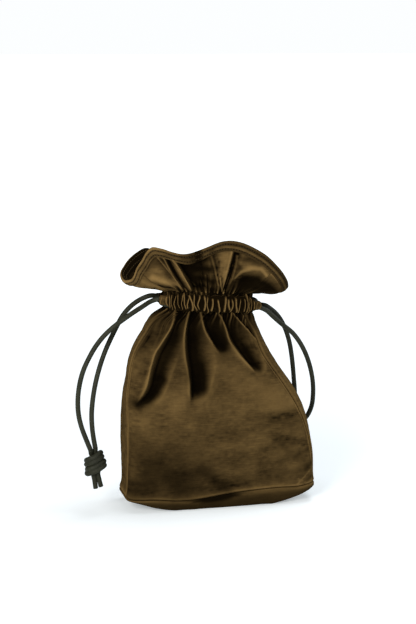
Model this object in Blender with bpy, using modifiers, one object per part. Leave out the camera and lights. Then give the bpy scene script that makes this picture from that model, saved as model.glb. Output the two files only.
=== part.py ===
"""Kinchaku drawstring pouch.

A boxed cloth pouch, gathered at the neck by two round drawcords that run in sewn casings, with a flared
ruffle above them and a folded band round the mouth. Each drawcord is tied to itself in a knot.
Metres. X runs to the right, Y away from the viewer, Z up. The origin is on the floor under the base.
"""

import math

import bmesh
import bpy
import numpy as np

MM = 0.001

# Driving sizes of the cloth body
BASE_WIDTH = 188 * MM
BASE_DEPTH = 62 * MM
NECK_WIDTH = 88 * MM
NECK_DEPTH = 32 * MM
NECK_HEIGHT = 201 * MM  # middle of the cords' way through the casings
NECK_TILT = -0.07  # rise of the neck for each unit to the right
LEAN = -16 * MM  # how far the shoulders stand off to the left
BASE_SEAM_HEIGHT = 15 * MM
BASE_SEAM_RIDGE = 1.2 * MM
BASE_BULGE = 1.8 * MM  # of the base's wall below its seam
CORNER_LIFT = 10 * MM  # how far the base's ends rise off the floor
CLOTH = 1.4 * MM
CLEARANCE = 0.3 * MM  # between touching pieces

# Driving sizes of the band, the casings and the cords
BAND_WIDTH = 9 * MM
BAND_CLOTH = 1.0 * MM
BAND_ROOM = 0.5 * MM  # between the band and the cloth that it folds over
CASING_DOWN = 8 * MM  # from the casing's middle to its lower edge
CASING_UP = 11 * MM  # and to its upper edge
CASING_CLOTH = 1.2 * MM
CASING_PLEAT = 1.2 * MM
CASING_TAB = 12 * MM  # how far a casing's end runs straight on, off the neck
CORD_DIAMETER = 4.6 * MM
RUFFLE_ROOM = 2.2 * MM  # between a casing's upper edge and the ruffle that flares above it
LANE_GAP = 0.9 * MM  # between the two cords inside a casing
CORD_ROOM = 0.8 * MM  # free room between the cords and the cloth they go round
KNOT_SIZE = (22 * MM, 17 * MM, 26.6 * MM)

# The body's section at each share of the neck's height: lean share, shares of the way from the neck's
# half width and half depth to the base's, and squareness (2 is an ellipse, 8 nearly a rectangle)
SECTIONS = (
    (0.000, 0.00, 1.00, 1.00, 8.0),
    (0.075, 0.00, 1.00, 1.00, 8.0),
    (0.250, 0.00, 1.00, 1.30, 6.0),
    (0.448, 0.25, 0.92, 1.42, 4.5),
    (0.607, 0.66, 0.76, 1.30, 3.5),
    (0.766, 1.00, 0.50, 1.00, 2.8),
    (0.846, 0.98, 0.33, 0.72, 2.6),
    (0.925, 0.84, 0.15, 0.36, 2.6),
    (0.945, 0.66, 0.07, 0.17, 2.7),
    (0.962, 0.55, 0.00, 0.00, 2.8),
    (1.000, 0.55, 0.00, 0.00, 2.8),
    (1.030, 0.54, 0.00, 0.00, 2.8),
    (1.060, 0.52, 0.02, 0.02, 2.8),
)

# Height of the base seam, as a share of its own height, at shares of the half width
BASE_SEAM = (
    (-1.00, 0.87),
    (-0.75, 0.86),
    (-0.48, 0.70),
    (0.16, 1.04),
    (0.58, 1.16),
    (0.85, 1.16),
    (1.00, 1.32),
)

# Where the front's two seams run round the section: -1 and 1 are the section's corners
LEFT_SEAM = ((0.0, -1.46), (0.45, -1.48), (0.6, -1.58), (0.8, -1.60), (0.905, -1.40), (0.96, -1.15), (1.06, -1.10))
RIGHT_SEAM = ((0.0, 1.15), (0.45, 1.15), (0.75, 1.08), (0.905, 1.10), (0.96, 0.85), (1.0, 0.75), (1.06, 0.75))

# The front's folds, from left to right. The crest and the far side of its hollow are lines (x, z) from the
# neck down; then the crest's height, the hollow's depth, the height where both end and the length of the end
FRONT_FOLDS = (
    (((-60, 196), (-70, 187), (-78.5, 176), (-84.5, 162), (-88.5, 148)),
     ((-46, 196), (-53, 182), (-62, 168), (-69, 158), (-74, 148)), 1.6, 2.6, 146, 24),
    (((-44.5, 195), (-50, 182), (-59.3, 168), (-66.4, 158), (-70.8, 147), (-78, 122.5), (-87, 108)),
     ((-29.7, 198), (-35.6, 184.5), (-40, 167), (-45, 153), (-52, 138), (-57, 125), (-66, 108)), 2.2, 7.5, 108, 13),
    (((-29.7, 198), (-35.6, 184.5), (-38.8, 167), (-38.7, 153), (-36.8, 140), (-35.7, 129), (-36, 108)),
     ((-19.1, 199), (-19.5, 185.4), (-15, 175), (-10, 160), (-8, 148), (-12, 130), (-20, 108)), 2.4, 9.0, 110, 14),
    (((-19.1, 199), (-19.5, 185.4), (-17.4, 177), (-11.6, 166), (-7, 158), (-3, 150)),
     ((-4.8, 199), (2.8, 179.4), (8, 166), (9, 158), (8, 150)), 2.2, 7.0, 155, 10),
    (((-4.8, 199), (2.8, 179.4), (7.3, 165), (17.9, 150), (27.1, 139), (33, 130)),
     ((8.3, 196.6), (20.2, 182.3), (34, 166), (42, 155), (43, 145), (42, 130)), 2.4, 5.5, 134, 11),
    (((8.3, 196.6), (20.2, 182.3), (34.1, 166), (44, 154), (52, 141)),
     ((18, 198), (29.8, 183.6), (41, 164), (50, 146), (56, 136)), 1.8, 2.6, 141, 16),
)
# The same for the back, whose x runs as its own left to right
BACK_FOLDS = (
    (((-36, 196), (-46, 182), (-57, 166), (-66, 148), (-72, 130)),
     ((-24, 196), (-34, 182), (-42, 166), (-50, 148), (-58, 130)), 2.0, 5.5, 128, 16),
    (((-20, 198), (-26, 183), (-29, 166), (-31, 150), (-30, 120)),
     ((-8, 198), (-12, 183), (-10, 166), (-10, 150), (-14, 120)), 2.4, 8.0, 118, 16),
    (((-6, 198), (-5, 184), (-1, 168), (4, 156)),
     ((6, 198), (12, 184), (18, 168), (18, 156)), 2.2, 6.5, 150, 12),
    (((10, 198), (18, 184), (30, 166), (38, 148), (44, 130)),
     ((22, 198), (32, 184), (45, 166), (52, 148), (54, 130)), 2.4, 6.5, 130, 14),
    (((26, 198), (38, 184), (52, 168), (63, 150)),
     ((36, 198), (49, 184), (62, 168), (72, 150)), 1.8, 3.0, 148, 18),
)
FOLD_CREST = 4  # half width of a fold's crest, in millimetres
FOLD_CREST_REST = 4  # how far the crest runs on below the hollow
NECK_TIGHTNESS = 0.5  # share of a hollow's depth that is left at the casing
NECK_LOOSENING = 22  # millimetres below the casing in which a hollow reaches its depth
BACK_LEAN = (14, 60, 90)  # how far the back's folds follow the lean, from which height and over how much
NEAR_WALL = 0.3  # share of a hollow's width that its wall next to the crest takes
FAR_WALL = 0.4  # share of its width at which the far wall starts
SEAM_FADE = 0.12  # share of a panel's half width in which its folds die out towards the seams
GUSSET_FOLD_HEIGHTS = (0.3, 0.4)  # the share of the neck's height where a gusset folds in, and over how much
GATHER_PLEATS = 9  # small pleats across a panel, just under the casing
GATHER_HEIGHT = 1.2 * MM
GATHER_LENGTH = 13 * MM
CASING_FADE = 6 * MM  # in which the folds flatten out just below the casing
GUSSET_FOLD = 2.5 * MM

# The mouth's edge, seen from above against the clock from the front's left seam
MOUTH = np.array((
    (-83, -20.5, 241), (-79, -23.5, 248), (-75, -26.5, 256), (-71, -28.5, 260), (-62, -29.5, 259), (-50, -29, 255),
    (-37.5, -26, 252.5), (-25, -25, 255), (-13.5, -27, 259.5), (-2.5, -31, 264), (6, -35, 265), (16, -38, 263),
    (28, -38.5, 257.5), (40, -38, 250), (51.5, -34, 239.5),
    (60, -27.5, 230.5), (67, -17, 221), (70.5, -3, 213.8), (67.5, 10, 211), (60, 20, 213),
    (45, 30, 222), (28, 33, 232), (8, 34, 238), (-15, 34, 242), (-36, 33, 245), (-52, 28, 248),
    (-61, 22.5, 251), (-67, 19, 253.5),
    (-78, 12.5, 250), (-91, 3, 240), (-96.3, -4, 231.8), (-94, -9.5, 226.5), (-88.8, -13.5, 227.5),
)) * MM
MOUTH_SEAMS = (0, 14, 19, 27, 33)  # which of those points the four seams meet
RUFFLE_DROOP = (3 * MM, 9 * MM)  # how far the ruffle's left and right ends sag
RUFFLE_OUT_BEND = (0.42, 0.28)  # how far along the way out it bends, where it goes up and added where sideways
RUFFLE_UP_BEND = (0.45, -0.17)  # the same for the way up
RUFFLE_HALF_WIDTHS = (44, 78)  # its half width at the neck and at the mouth, in millimetres
RUFFLE_FOLDS_START = 0.12  # share of the way up in which its folds grow
RUFFLE_FOLDS_END = (0.40, 0.28)  # the share of the way up where they start to fade, and over how much

# The ruffle's folds: the crest's place at the neck and at the mouth, the far side's places, the crest's
# height, the hollow's depth, the share of the hollow's width at which its far wall starts
RUFFLE_FRONT = (
    (-0.535, -0.60, -0.36, -0.49, 2.6, 3.2, 0.45),
    (-0.290, -0.47, 0.17, 0.02, 2.8, 7.5, 0.72),
    (0.400, 0.36, 0.56, 0.52, 1.4, 3.4, 0.45),
)
RUFFLE_BACK = (
    (-0.60, -0.55, -0.36, -0.38, 2.2, 4.0, 0.45),
    (-0.15, -0.12, 0.16, 0.20, 2.4, 6.0, 0.60),
    (0.35, 0.42, 0.60, 0.68, 2.2, 4.5, 0.50),
)

# Broad swells and hollows of the ruffle's front: place across, share up, their half sizes and the height
RUFFLE_SWELLS = (
    (-0.78, 0.38, 0.13, 0.18, 4.5),
    (0.66, 0.52, 0.16, 0.10, 2.6),
    (0.74, 0.34, 0.20, 0.18, -6.5),
)

# How finely each piece is built
FRONT_COLUMNS = 52
BACK_COLUMNS = 40
GUSSET_COLUMNS = 8
BODY_LEVELS = (0, 0.06, 0.16, 0.29, 0.41, 0.51, 0.60, 0.68, 0.755, 0.825, 0.885, 0.935, 0.972, 1.0)
NECK_LEVELS = (0.17, 0.6, 1.0)
RUFFLE_LEVELS = (0.22, 0.48, 0.74)
SIDES = (  # name, the seams it runs between, columns and kind, against the clock seen from above
    ("front_panel", (-1, 1), FRONT_COLUMNS, "front"),
    ("right_gusset", (1, 3), GUSSET_COLUMNS, "gusset"),
    ("back_panel", (3, 5), BACK_COLUMNS, "back"),
    ("left_gusset", (5, 7), GUSSET_COLUMNS, "gusset"),
)
BASE_DEPTH_STEPS = (0, 0.4, 0.7, 0.86, 0.94, 0.98, 1.0)
BASE_WIDTH_STEPS = (0, 0.1, 0.2, 0.3, 0.4, 0.5, 0.6, 0.7, 0.78, 0.86, 0.94, 0.98, 1.0)
CASING_COLUMNS = 48
CORD_STEP = 11 * MM
CORD_BEND_STEP = 4.5 * MM

# The cords' own routes, from a casing's end to the knot, chosen by hand
LEFT_FRONT_ROUTE = np.array((
    (-66, -6.5, 205.6), (-77.6, -11, 200.4), (-88.8, -13, 194.2), (-98.4, -14, 188.1), (-106.5, -14, 182.2),
    (-114.6, -14, 174.9), (-122.7, -14, 165.2), (-129.5, -14, 154), (-135.4, -14, 141.5), (-139.3, -14, 127.5),
    (-141.1, -14, 111.9), (-140.5, -14, 98), (-137.8, -14.5, 85.5), (-134, -15, 74.5), (-129.6, -15, 63),
)) * MM
LEFT_BACK_ROUTE = np.array((
    (-66, 4.5, 208.9), (-73.5, 5.5, 206.2), (-81.2, 5.5, 201.9), (-89, 5, 195.2), (-95, 3.5, 188), (-99.8, 1, 180.3),
    (-105.8, -2, 170.3), (-111.2, -4, 160), (-116.5, -6, 147.5), (-122.1, -8, 129.8), (-125.8, -10, 112.4),
    (-127.4, -11, 96.8), (-127.1, -12, 83.3), (-125.8, -12.5, 72.2), (-124.2, -12, 63),
)) * MM
RIGHT_FRONT_ROUTE = np.array((
    (49.5, -4, 191), (57, -0.5, 184.4), (66.2, 4, 176.4), (80.7, 9, 164.4), (89.8, 14, 153.3), (98.1, 19, 139),
    (104.5, 24, 122.9), (108.4, 29, 108.8), (110.4, 34, 94), (110.2, 38.5, 80.6), (106.8, 42.5, 69.8), (98, 47.5, 59.5),
)) * MM
RIGHT_BACK_ROUTE = np.array((
    (50, 4.5, 194.8), (56.5, 9, 190.9), (63.3, 13, 185.4), (71.4, 19, 175.9), (77.4, 23, 165), (82.1, 26, 152.3),
    (85.5, 29, 137.9), (87.9, 32, 124.8), (90.1, 35.5, 111.5), (92.2, 39, 98), (93.7, 43, 84.5), (94, 46.5, 71.5),
    (92.8, 48.5, 59.5),
)) * MM
LEFT_TAIL_ENDS = np.array(((-124.8, -14, 24), (-119.6, -14, 25.5))) * MM
RIGHT_TAIL_ENDS = np.array(((95.6, 47.5, 21), (90.4, 48.5, 23))) * MM


# Curves and helpers


def smooth_step(x):
    x = min(max(x, 0.0), 1.0)
    return x * x * (3 - 2 * x)


def bump(x):
    """A rounded hill of height 1 at 0, near nothing beyond 2 on either side."""
    return math.exp(-x * x)


def through(table, at):
    """The values at one place, read from a smooth curve through a table whose first column is the place."""
    rows = np.asarray(table, float)
    places, values = rows[:, 0], rows[:, 1:]
    slopes = np.gradient(values, places, axis=0)
    at = min(max(at, places[0]), places[-1])
    i = min(max(int(np.searchsorted(places, at)) - 1, 0), len(places) - 2)
    step = places[i + 1] - places[i]
    f = (at - places[i]) / step
    return (
        (1 + 2 * f) * (1 - f) ** 2 * values[i]
        + f * (1 - f) ** 2 * step * slopes[i]
        + f * f * (3 - 2 * f) * values[i + 1]
        + f * f * (f - 1) * step * slopes[i + 1]
    )


def along(points, longest, shortest):
    """Points on a smooth curve through the given ones, closer together where it bends."""
    points = np.asarray(points, float)
    marks = np.concatenate(([0.0], np.cumsum(np.linalg.norm(np.diff(points, axis=0), axis=1))))
    table = np.column_stack((marks, points))
    found = [0.0]
    while found[-1] < marks[-1] - shortest / 2:
        here, near, far = (through(table, found[-1] + shortest * k) for k in (0, 1, 2))
        bend = np.linalg.norm(far - 2 * near + here) / shortest**2
        found.append(found[-1] + min(longest, max(shortest, 0.5 / max(bend, 1))))
    found[-1] = marks[-1]
    return np.array([through(table, d) for d in found])


# The pouch's own surface


def ring(place, half_width, half_depth, squareness):
    """A section's point and outward direction. Place is -1 to 1 over the front, 1 to 3 over the right side,
    3 to 5 over the back and 5 to 7 over the left side."""
    side = math.floor((place + 1) / 2) % 4
    r = (place + 1) % 2 - 1
    x, y = ((r, -1), (1, r), (-r, 1), (-1, -r))[side]
    size = (abs(x) ** squareness + abs(y) ** squareness) ** (1 / squareness)
    x, y = x / size, y / size
    outward = np.array((
        math.copysign(abs(x) ** (squareness - 1), x) / half_width,
        math.copysign(abs(y) ** (squareness - 1), y) / half_depth,
    ))
    return np.array((half_width * x, half_depth * y)), outward / np.linalg.norm(outward)


def section(share):
    """Centre, half width, half depth and squareness of the body at a share of the neck's height."""
    lean, width, depth, squareness = through(SECTIONS, share)
    half_width = NECK_WIDTH / 2 + width * (BASE_WIDTH - NECK_WIDTH) / 2
    half_depth = NECK_DEPTH / 2 + depth * (BASE_DEPTH - NECK_DEPTH) / 2
    return lean * LEAN, half_width, half_depth, squareness


def seam_height(x):
    return BASE_SEAM_HEIGHT * through(BASE_SEAM, 2 * x / BASE_WIDTH)[0]


def level_share(level):
    """Height share of a level: 0 at the base seam, 1 at the casings' upper edge."""
    low = BASE_SEAM_HEIGHT / NECK_HEIGHT
    high = 1 + CASING_UP / NECK_HEIGHT
    return low + level * (high - low)


def casing_edge_level():
    """The level at the casings' lower edge, where the body's folds end."""
    return (1 - CASING_DOWN / NECK_HEIGHT - level_share(0)) / (level_share(1) - level_share(0))


def fold_profile(d, width, height, depth, wall):
    """How far a fold stands out at a distance to the right of its crest: the crest, then a hollow whose far
    wall starts at a share of the hollow's width. All in millimetres."""
    s = d / max(width, FOLD_CREST)
    hollow = smooth_step(s / NEAR_WALL) * (1 - smooth_step((s - wall) / (1 - wall)))
    return height * bump(d / FOLD_CREST) - depth * hollow


def line_at(line, z):
    """Where a fold's line (x, z) runs at a height."""
    rows = np.array(line, float)[::-1, ::-1]
    return through(rows, z)[0]


def fold_out(x, z, folds):
    """How far the folds push the cloth out, in millimetres, at x and z in millimetres."""
    out = 0.0
    for crest, limit, height, depth, low, end in folds:
        start = line_at(crest, z)
        hollow_life = smooth_step((z - low) / end)
        crest_life = smooth_step((z - low + FOLD_CREST_REST) / (end + 2 * FOLD_CREST_REST))
        below = (NECK_HEIGHT - CASING_DOWN) / MM - z
        tight = NECK_TIGHTNESS + (1 - NECK_TIGHTNESS) * smooth_step(below / NECK_LOOSENING)
        width = line_at(limit, z) - start
        out += fold_profile(x - start, width, height * crest_life, depth * hollow_life * tight, FAR_WALL)
    return out


def body_out(within, share, point, panel):
    """The cloth's folds and small gathers. They die out at the seams and under the casing. Within runs from
    -1 to 1 across the panel."""
    under_casing = (level_share(casing_edge_level()) - share) * NECK_HEIGHT
    if under_casing < CLEARANCE:
        return 0.0
    at_seam = smooth_step((1 - abs(within)) / SEAM_FADE)
    near_neck = math.exp(-under_casing / GATHER_LENGTH)
    if panel == "gusset":
        low, over = GUSSET_FOLD_HEIGHTS
        return -GUSSET_FOLD * (1 - within * within) * smooth_step((share - low) / over)
    x, _, z = point / MM
    if panel == "front":
        folds = fold_out(x, z, FRONT_FOLDS)
    else:
        lean, low, over = BACK_LEAN
        folds = fold_out(-x - lean * smooth_step((z - low) / over), z, BACK_FOLDS)
    pleats = GATHER_HEIGHT * near_neck * math.cos(math.pi * GATHER_PLEATS * within)
    return at_seam * smooth_step(under_casing / CASING_FADE) * (folds * MM + pleats)


def body_point(place, level, panel=None, within=0.0):
    share = level_share(level)
    centre, half_width, half_depth, squareness = section(share)
    flat, outward = ring(place, half_width, half_depth, squareness)
    lift = (seam_height(flat[0]) - BASE_SEAM_HEIGHT) * (1 - smooth_step(level / 0.35))
    tilt = NECK_TILT * smooth_step((share - 0.55) / 0.4)
    x, y = flat + BASE_SEAM_RIDGE * (1 - smooth_step(level / 0.06)) * outward
    point = np.array((x + centre, y, share * NECK_HEIGHT + lift + tilt * (x + centre)))
    if panel:
        point[:2] += body_out(within, share, point, panel) * outward
    return point


def mouth_point(place):
    """The mouth's edge, with the four seams at -1, 1, 3 and 5."""
    turn = (place + 1) % 8
    side = int(turn // 2)
    marks = mouth_marks()
    first, last = marks[MOUTH_SEAMS[side]], marks[MOUTH_SEAMS[side + 1]]
    return through(MOUTH_TABLE, first + (turn / 2 - side) * (last - first))


def mouth_marks():
    closed = np.vstack((MOUTH, MOUTH[:1]))
    return np.concatenate(([0.0], np.cumsum(np.linalg.norm(np.diff(closed, axis=0), axis=1))))


def mouth_table():
    """Distance round the mouth and its points, with three more beyond each end so that it closes smoothly."""
    marks = mouth_marks()
    whole = marks[-1]
    before = np.column_stack((marks[-4:-1] - whole, MOUTH[-3:]))
    during = np.column_stack((marks[:-1], MOUTH))
    after = np.column_stack((marks[:4] + whole, MOUTH[:4]))
    return np.vstack((before, during, after))


MOUTH_TABLE = mouth_table()


def ruffle_out(within, t, folds, swells):
    """How far the ruffle's folds stand out, in millimetres, at a place from -1 to 1 across and t up."""
    at_neck, at_mouth = RUFFLE_HALF_WIDTHS
    half_width = at_neck + (at_mouth - at_neck) * t
    fade, over = RUFFLE_FOLDS_END
    life = smooth_step(t / RUFFLE_FOLDS_START) * (1 - smooth_step((t - fade) / over))
    out = 0.0
    for neck, top, far_neck, far_top, height, depth, wall in folds:
        crest = neck + t * (top - neck)
        far = far_neck + t * (far_top - far_neck)
        width = (far - crest) * half_width
        out += fold_profile((within - crest) * half_width, width, height, depth, wall) * life
    for across, up, half_across, half_up, height in swells:
        out += height * bump((within - across) / half_across) * bump((t - up) / half_up)
    return out


def ruffle_point(neck_place, mouth_place, t):
    """The ruffle, from the neck at t 0 to the mouth at t 1: it bends up and out, and sags at its two ends."""
    neck = body_point(neck_place, 1)
    mouth = mouth_point(mouth_place)
    way = mouth - neck
    sideways = min(1.0, abs(way[0]) / np.linalg.norm(way))
    out = RUFFLE_OUT_BEND[0] + RUFFLE_OUT_BEND[1] * sideways
    up = RUFFLE_UP_BEND[0] + RUFFLE_UP_BEND[1] * sideways
    middle = neck + way * (out, out, up)
    middle[2] -= RUFFLE_DROOP[int(way[0] > 0)] * smooth_step((sideways - 0.6) / 0.35)
    point = (1 - t) ** 2 * neck + 2 * t * (1 - t) * middle + t * t * mouth
    turn = (mouth_place + 1) % 8
    if turn <= 2:
        point[1] -= ruffle_out(turn - 1, t, RUFFLE_FRONT, RUFFLE_SWELLS) * MM
    elif 4 <= turn <= 6:
        point[1] += ruffle_out(turn - 5, t, RUFFLE_BACK, ()) * MM
    return point


def seam_place(seam, level):
    """Where a seam runs round the section. Seam -1 is the front's left, then 1, 3 and 5 round to 7."""
    share = level_share(min(level, 1))
    if seam == 1:
        return through(RIGHT_SEAM, share)[0]
    if seam in (-1, 7):
        return through(LEFT_SEAM, share)[0] + seam + 1
    return seam


def cloth_point(seams, share, level, panel):
    """A point of a panel: share 0 to 1 between its two seams, level 0 at the base seam, 1 at the neck's top,
    and 1 to 2 up the ruffle."""
    first, last = (seam_place(seam, level) for seam in seams)
    place = first + share * (last - first)
    if level <= 1:
        return body_point(place, level, panel, 2 * share - 1)
    return ruffle_point(place, seams[0] + share * (seams[1] - seams[0]), level - 1)


def band_level(seams, share, below):
    """The level at a distance below the mouth's edge."""
    height = np.linalg.norm(cloth_point(seams, share, 2, None) - cloth_point(seams, share, 1, None))
    return 2 - below / height


def panel_levels(seams, share):
    """The levels of a panel's rows: the body's, the ruffle's up to the band, and the edge inside the band."""
    edge = casing_edge_level()
    body = [edge * t for t in BODY_LEVELS]
    neck = [edge + (1 - edge) * t for t in NECK_LEVELS]
    band = band_level(seams, share, BAND_WIDTH)
    ruffle = [1 + t * (band - 1) for t in RUFFLE_LEVELS]
    return [*body, *neck, *ruffle, band, band_level(seams, share, BAND_CLOTH + CLEARANCE)]


def edge_share(seams, level, inset):
    """The share of a panel's width that an inset at its edge takes."""
    width = np.linalg.norm(cloth_point(seams, 0.05, level, None) - cloth_point(seams, 0, level, None)) / 0.05
    return inset / width


# Meshes and objects


def new_object(name, mesh, material, collection):
    obj = bpy.data.objects.new(name, mesh)
    mesh.materials.append(material)
    mesh.shade_smooth()
    collection.objects.link(obj)
    return obj


def grid_mesh(name, rows, closed=False):
    """A surface through rows of points, facing the side from which the points run against the clock."""
    mesh = bpy.data.meshes.new(name)
    shape = bmesh.new()
    verts = [[shape.verts.new(p) for p in row] for row in rows]
    for low, high in zip(verts, verts[1:]):
        pairs = list(zip(low, low[1:], high, high[1:]))
        if closed:
            pairs.append((low[-1], low[0], high[-1], high[0]))
        for a, b, c, d in pairs:
            shape.faces.new((a, b, d, c))
    shape.to_mesh(mesh)
    shape.free()
    return mesh


def add_shell(obj, thickness):
    """Gives an open surface its thickness, inwards."""
    shell = obj.modifiers.new("Thickness", "SOLIDIFY")
    shell.thickness = thickness
    shell.offset = -1


def make_panel(index, collection, material):
    """The cloth between two seams. A gusset stands back a little more, so that its corners clear."""
    name, seams, columns, panel = SIDES[index]
    shares = [c / columns for c in range(columns + 1)]
    rows = []
    for r in range(len(panel_levels(seams, 0.5))):
        row = []
        for share in shares:
            level = panel_levels(seams, share)[r]
            insets = [CLEARANCE / 2, CLEARANCE / 2]
            if panel == "gusset":
                insets[0] += seam_bend(index - 1, level) * CLOTH + CLEARANCE
                insets[1] += seam_bend(index, level) * CLOTH + CLEARANCE
            first, last = (edge_share(seams, level, inset) for inset in insets)
            row.append(cloth_point(seams, first + share * (1 - first - last), level, panel))
        rows.append(row)
    obj = new_object(name, grid_mesh(name, rows), material, collection)
    add_shell(obj, CLOTH)


def seam_bend(index, level):
    """How sharply the cloth turns where a side meets the next one, from 0 for none to 1 for a square corner."""
    _, seams, columns, panel = SIDES[index % 4]
    _, next_seams, next_columns, next_panel = SIDES[(index + 1) % 4]
    corner = cloth_point(seams, 1, level, None)
    before = corner - cloth_point(seams, 1 - 1 / columns, level, panel)
    after = cloth_point(next_seams, 1 / next_columns, level, next_panel) - corner
    turn = np.linalg.norm(np.cross(before, after)) / np.linalg.norm(before) / np.linalg.norm(after)
    return min(1.0, turn)


def base_point(p, q):
    """The base as a square grid from -1 to 1 both ways, drawn out to the pouch's own section."""
    reach = max(abs(p), abs(q))
    centre, half_width, half_depth, squareness = section(level_share(0))
    if reach == 0:
        return np.array((centre, 0, 0))
    if abs(q) >= abs(p):
        place = p / reach if q < 0 else 4 - p / reach
    else:
        place = 2 + q / reach if p > 0 else 6 - q / reach
    flat, outward = ring(place, half_width, half_depth, squareness)
    steep = smooth_step((reach - BASE_DEPTH_STEPS[-4]) / (1 - BASE_DEPTH_STEPS[-4]))
    bulge = BASE_BULGE * math.sin(math.pi * steep)
    ridge = (BASE_SEAM_RIDGE - CLEARANCE) * smooth_step((reach - 0.94) / 0.03)
    x, y = flat * min(1, reach / BASE_DEPTH_STEPS[-3]) + (bulge + ridge) * outward
    floor = CORNER_LIFT * smooth_step((abs(x) / BASE_WIDTH * 2 - 0.48) / 0.6)
    z = floor + (seam_height(flat[0]) - CLEARANCE - floor) * steep
    return np.array((x + centre, y, z))


def make_base(collection, material):
    across, deep = ([-s for s in reversed(half[1:])] + list(half) for half in (BASE_WIDTH_STEPS, BASE_DEPTH_STEPS))
    rows = [[base_point(p, -q) for p in across] for q in deep]
    obj = new_object("base_panel", grid_mesh("base_panel", rows), material, collection)
    add_shell(obj, CLOTH)
    return obj


def make_band(collection, material):
    """The mouth's band: a strip folded over the panels' edges, as one closed ring with a U section."""
    stations = [(index, c / side[2]) for index, side in enumerate(SIDES) for c in range(side[2])]
    inner, outer = BAND_ROOM, BAND_ROOM + BAND_CLOTH
    profile = (
        (BAND_WIDTH, outer),
        (BAND_CLOTH, outer),
        (0, -CLOTH / 2),
        (BAND_CLOTH, -CLOTH - outer),
        (BAND_WIDTH, -CLOTH - outer),
        (BAND_WIDTH, -CLOTH - inner),
        (BAND_CLOTH, -CLOTH - inner),
        (BAND_CLOTH, inner),
        (BAND_WIDTH, inner),
    )
    rows = [[band_point(index, share, below, out) for index, share in stations] for below, out in profile]
    mesh = grid_mesh("mouth_binding", [*rows, rows[0]], closed=True)
    weld(mesh)
    new_object("mouth_binding", mesh, material, collection)


def band_point(index, share, below, out):
    """A point at a distance below the mouth's edge and a distance out from the cloth's outer face."""
    _, seams, columns, _ = SIDES[index]
    level = band_level(seams, share, below)
    here = cloth_point(seams, share, level, None)
    lower = cloth_point(seams, share, level - 0.02, None)
    if share == 0:
        _, before_seams, before_columns, _ = SIDES[index - 1]
        behind = cloth_point(before_seams, 1 - 1 / before_columns, level, None)
    else:
        behind = cloth_point(seams, share - 1 / columns, level, None)
    ahead = cloth_point(seams, share + 1 / columns, level, None)
    outward = np.cross(ahead - behind, here - lower)
    return here + out * outward / np.linalg.norm(outward)


def weld(mesh):
    shape = bmesh.new()
    shape.from_mesh(mesh)
    bmesh.ops.remove_doubles(shape, verts=shape.verts, dist=1e-6)
    bmesh.ops.recalc_face_normals(shape, faces=shape.faces)
    shape.to_mesh(mesh)
    shape.free()


# Neck: casings and cords


def neck_point(place, out, up):
    """A point off the neck: out from the cloth, and up or down from the casings' middle."""
    centre, half_width, half_depth, squareness = section(1 + up / NECK_HEIGHT)
    flat, outward = ring(place, half_width, half_depth, squareness)
    x, y = flat + out * outward
    return np.array((x + centre, y, NECK_HEIGHT + NECK_TILT * (x + centre) + up))


def tab_point(place, turn, out, up, distance):
    """A point past the end of a casing, straight on along the neck. Turn is 1 or -1 round the neck."""
    here = neck_point(place, out, up)
    ahead = neck_point(place + turn * 0.01, out, up)
    way = (ahead - here) / np.linalg.norm(ahead - here)
    return here + way * distance


CASING_END = 1.2  # where a casing leaves the neck, round from the middle of its panel


def casing_path(middle, out, up, columns):
    """Points along a casing: a straight tab, the neck's curve, and the other tab."""
    length = NECK_WIDTH + 2 * CASING_TAB
    points = []
    for c in range(columns + 1):
        s = (c / columns - 0.5) * length
        curve = NECK_WIDTH / 2
        if abs(s) <= curve:
            points.append(neck_point(middle + s / curve * CASING_END, out, up))
        else:
            turn = math.copysign(1, s)
            points.append(tab_point(middle + turn * CASING_END, turn, out, up, abs(s) - curve))
    return points


def make_casing(name, middle, collection, material):
    """The casing strip: sewn to the cloth along both edges, and standing off it over the cords."""
    near = CLEARANCE + CASING_CLOTH
    off = CORD_ROOM + CORD_DIAMETER + 2 * CLEARANCE + CASING_CLOTH
    over_cords = CORD_DIAMETER + LANE_GAP / 2 + CLEARANCE + CASING_CLOTH
    top = CASING_UP - RUFFLE_ROOM
    rows = []
    for up, out, pleat in ((-CASING_DOWN, near, 0), (-over_cords, off, 1), (over_cords, off, 1), (top, near, 0)):
        low = casing_path(middle, out, up, CASING_COLUMNS)
        high = casing_path(middle, out + pleat * CASING_PLEAT, up, CASING_COLUMNS)
        waves = [0.5 - 0.5 * math.cos(math.pi * c / 2) for c in range(CASING_COLUMNS + 1)]
        rows.append([a + wave * (b - a) for a, b, wave in zip(low, high, waves)])
    obj = new_object(name, grid_mesh(name, rows), material, collection)
    add_shell(obj, CASING_CLOTH)
    return obj


def drawcord_route(first, turn, up, start_route, end_route):
    """A cord's whole way: from its knot up to a casing, once round the neck and back to the knot."""
    out = CORD_ROOM + CLEARANCE + CORD_DIAMETER / 2
    last = first + turn * (8 - 2 * (2 - CASING_END))
    tab_in = [tab_point(first, -turn, out, up, d) for d in (CASING_TAB, CASING_TAB / 2)]
    tab_out = [tab_point(last, turn, out, up, d) for d in (CASING_TAB / 2, CASING_TAB)]
    around = [neck_point(first + turn * s, out, up) for s in np.linspace(0, abs(last - first), 49)]
    return np.vstack((start_route[::-1], tab_in, around, tab_out, end_route))


def make_tube(name, points, diameter, collection, material):
    curve = bpy.data.curves.new(name, "CURVE")
    curve.dimensions = "3D"
    curve.bevel_depth = diameter / 2
    curve.bevel_resolution = 2
    curve.use_fill_caps = True
    spline = curve.splines.new("POLY")
    spline.points.add(len(points) - 1)
    for place, point in zip(spline.points, points):
        place.co = (*point, 1)
    curve.materials.append(material)
    obj = bpy.data.objects.new(name, curve)
    collection.objects.link(obj)
    return obj


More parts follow.
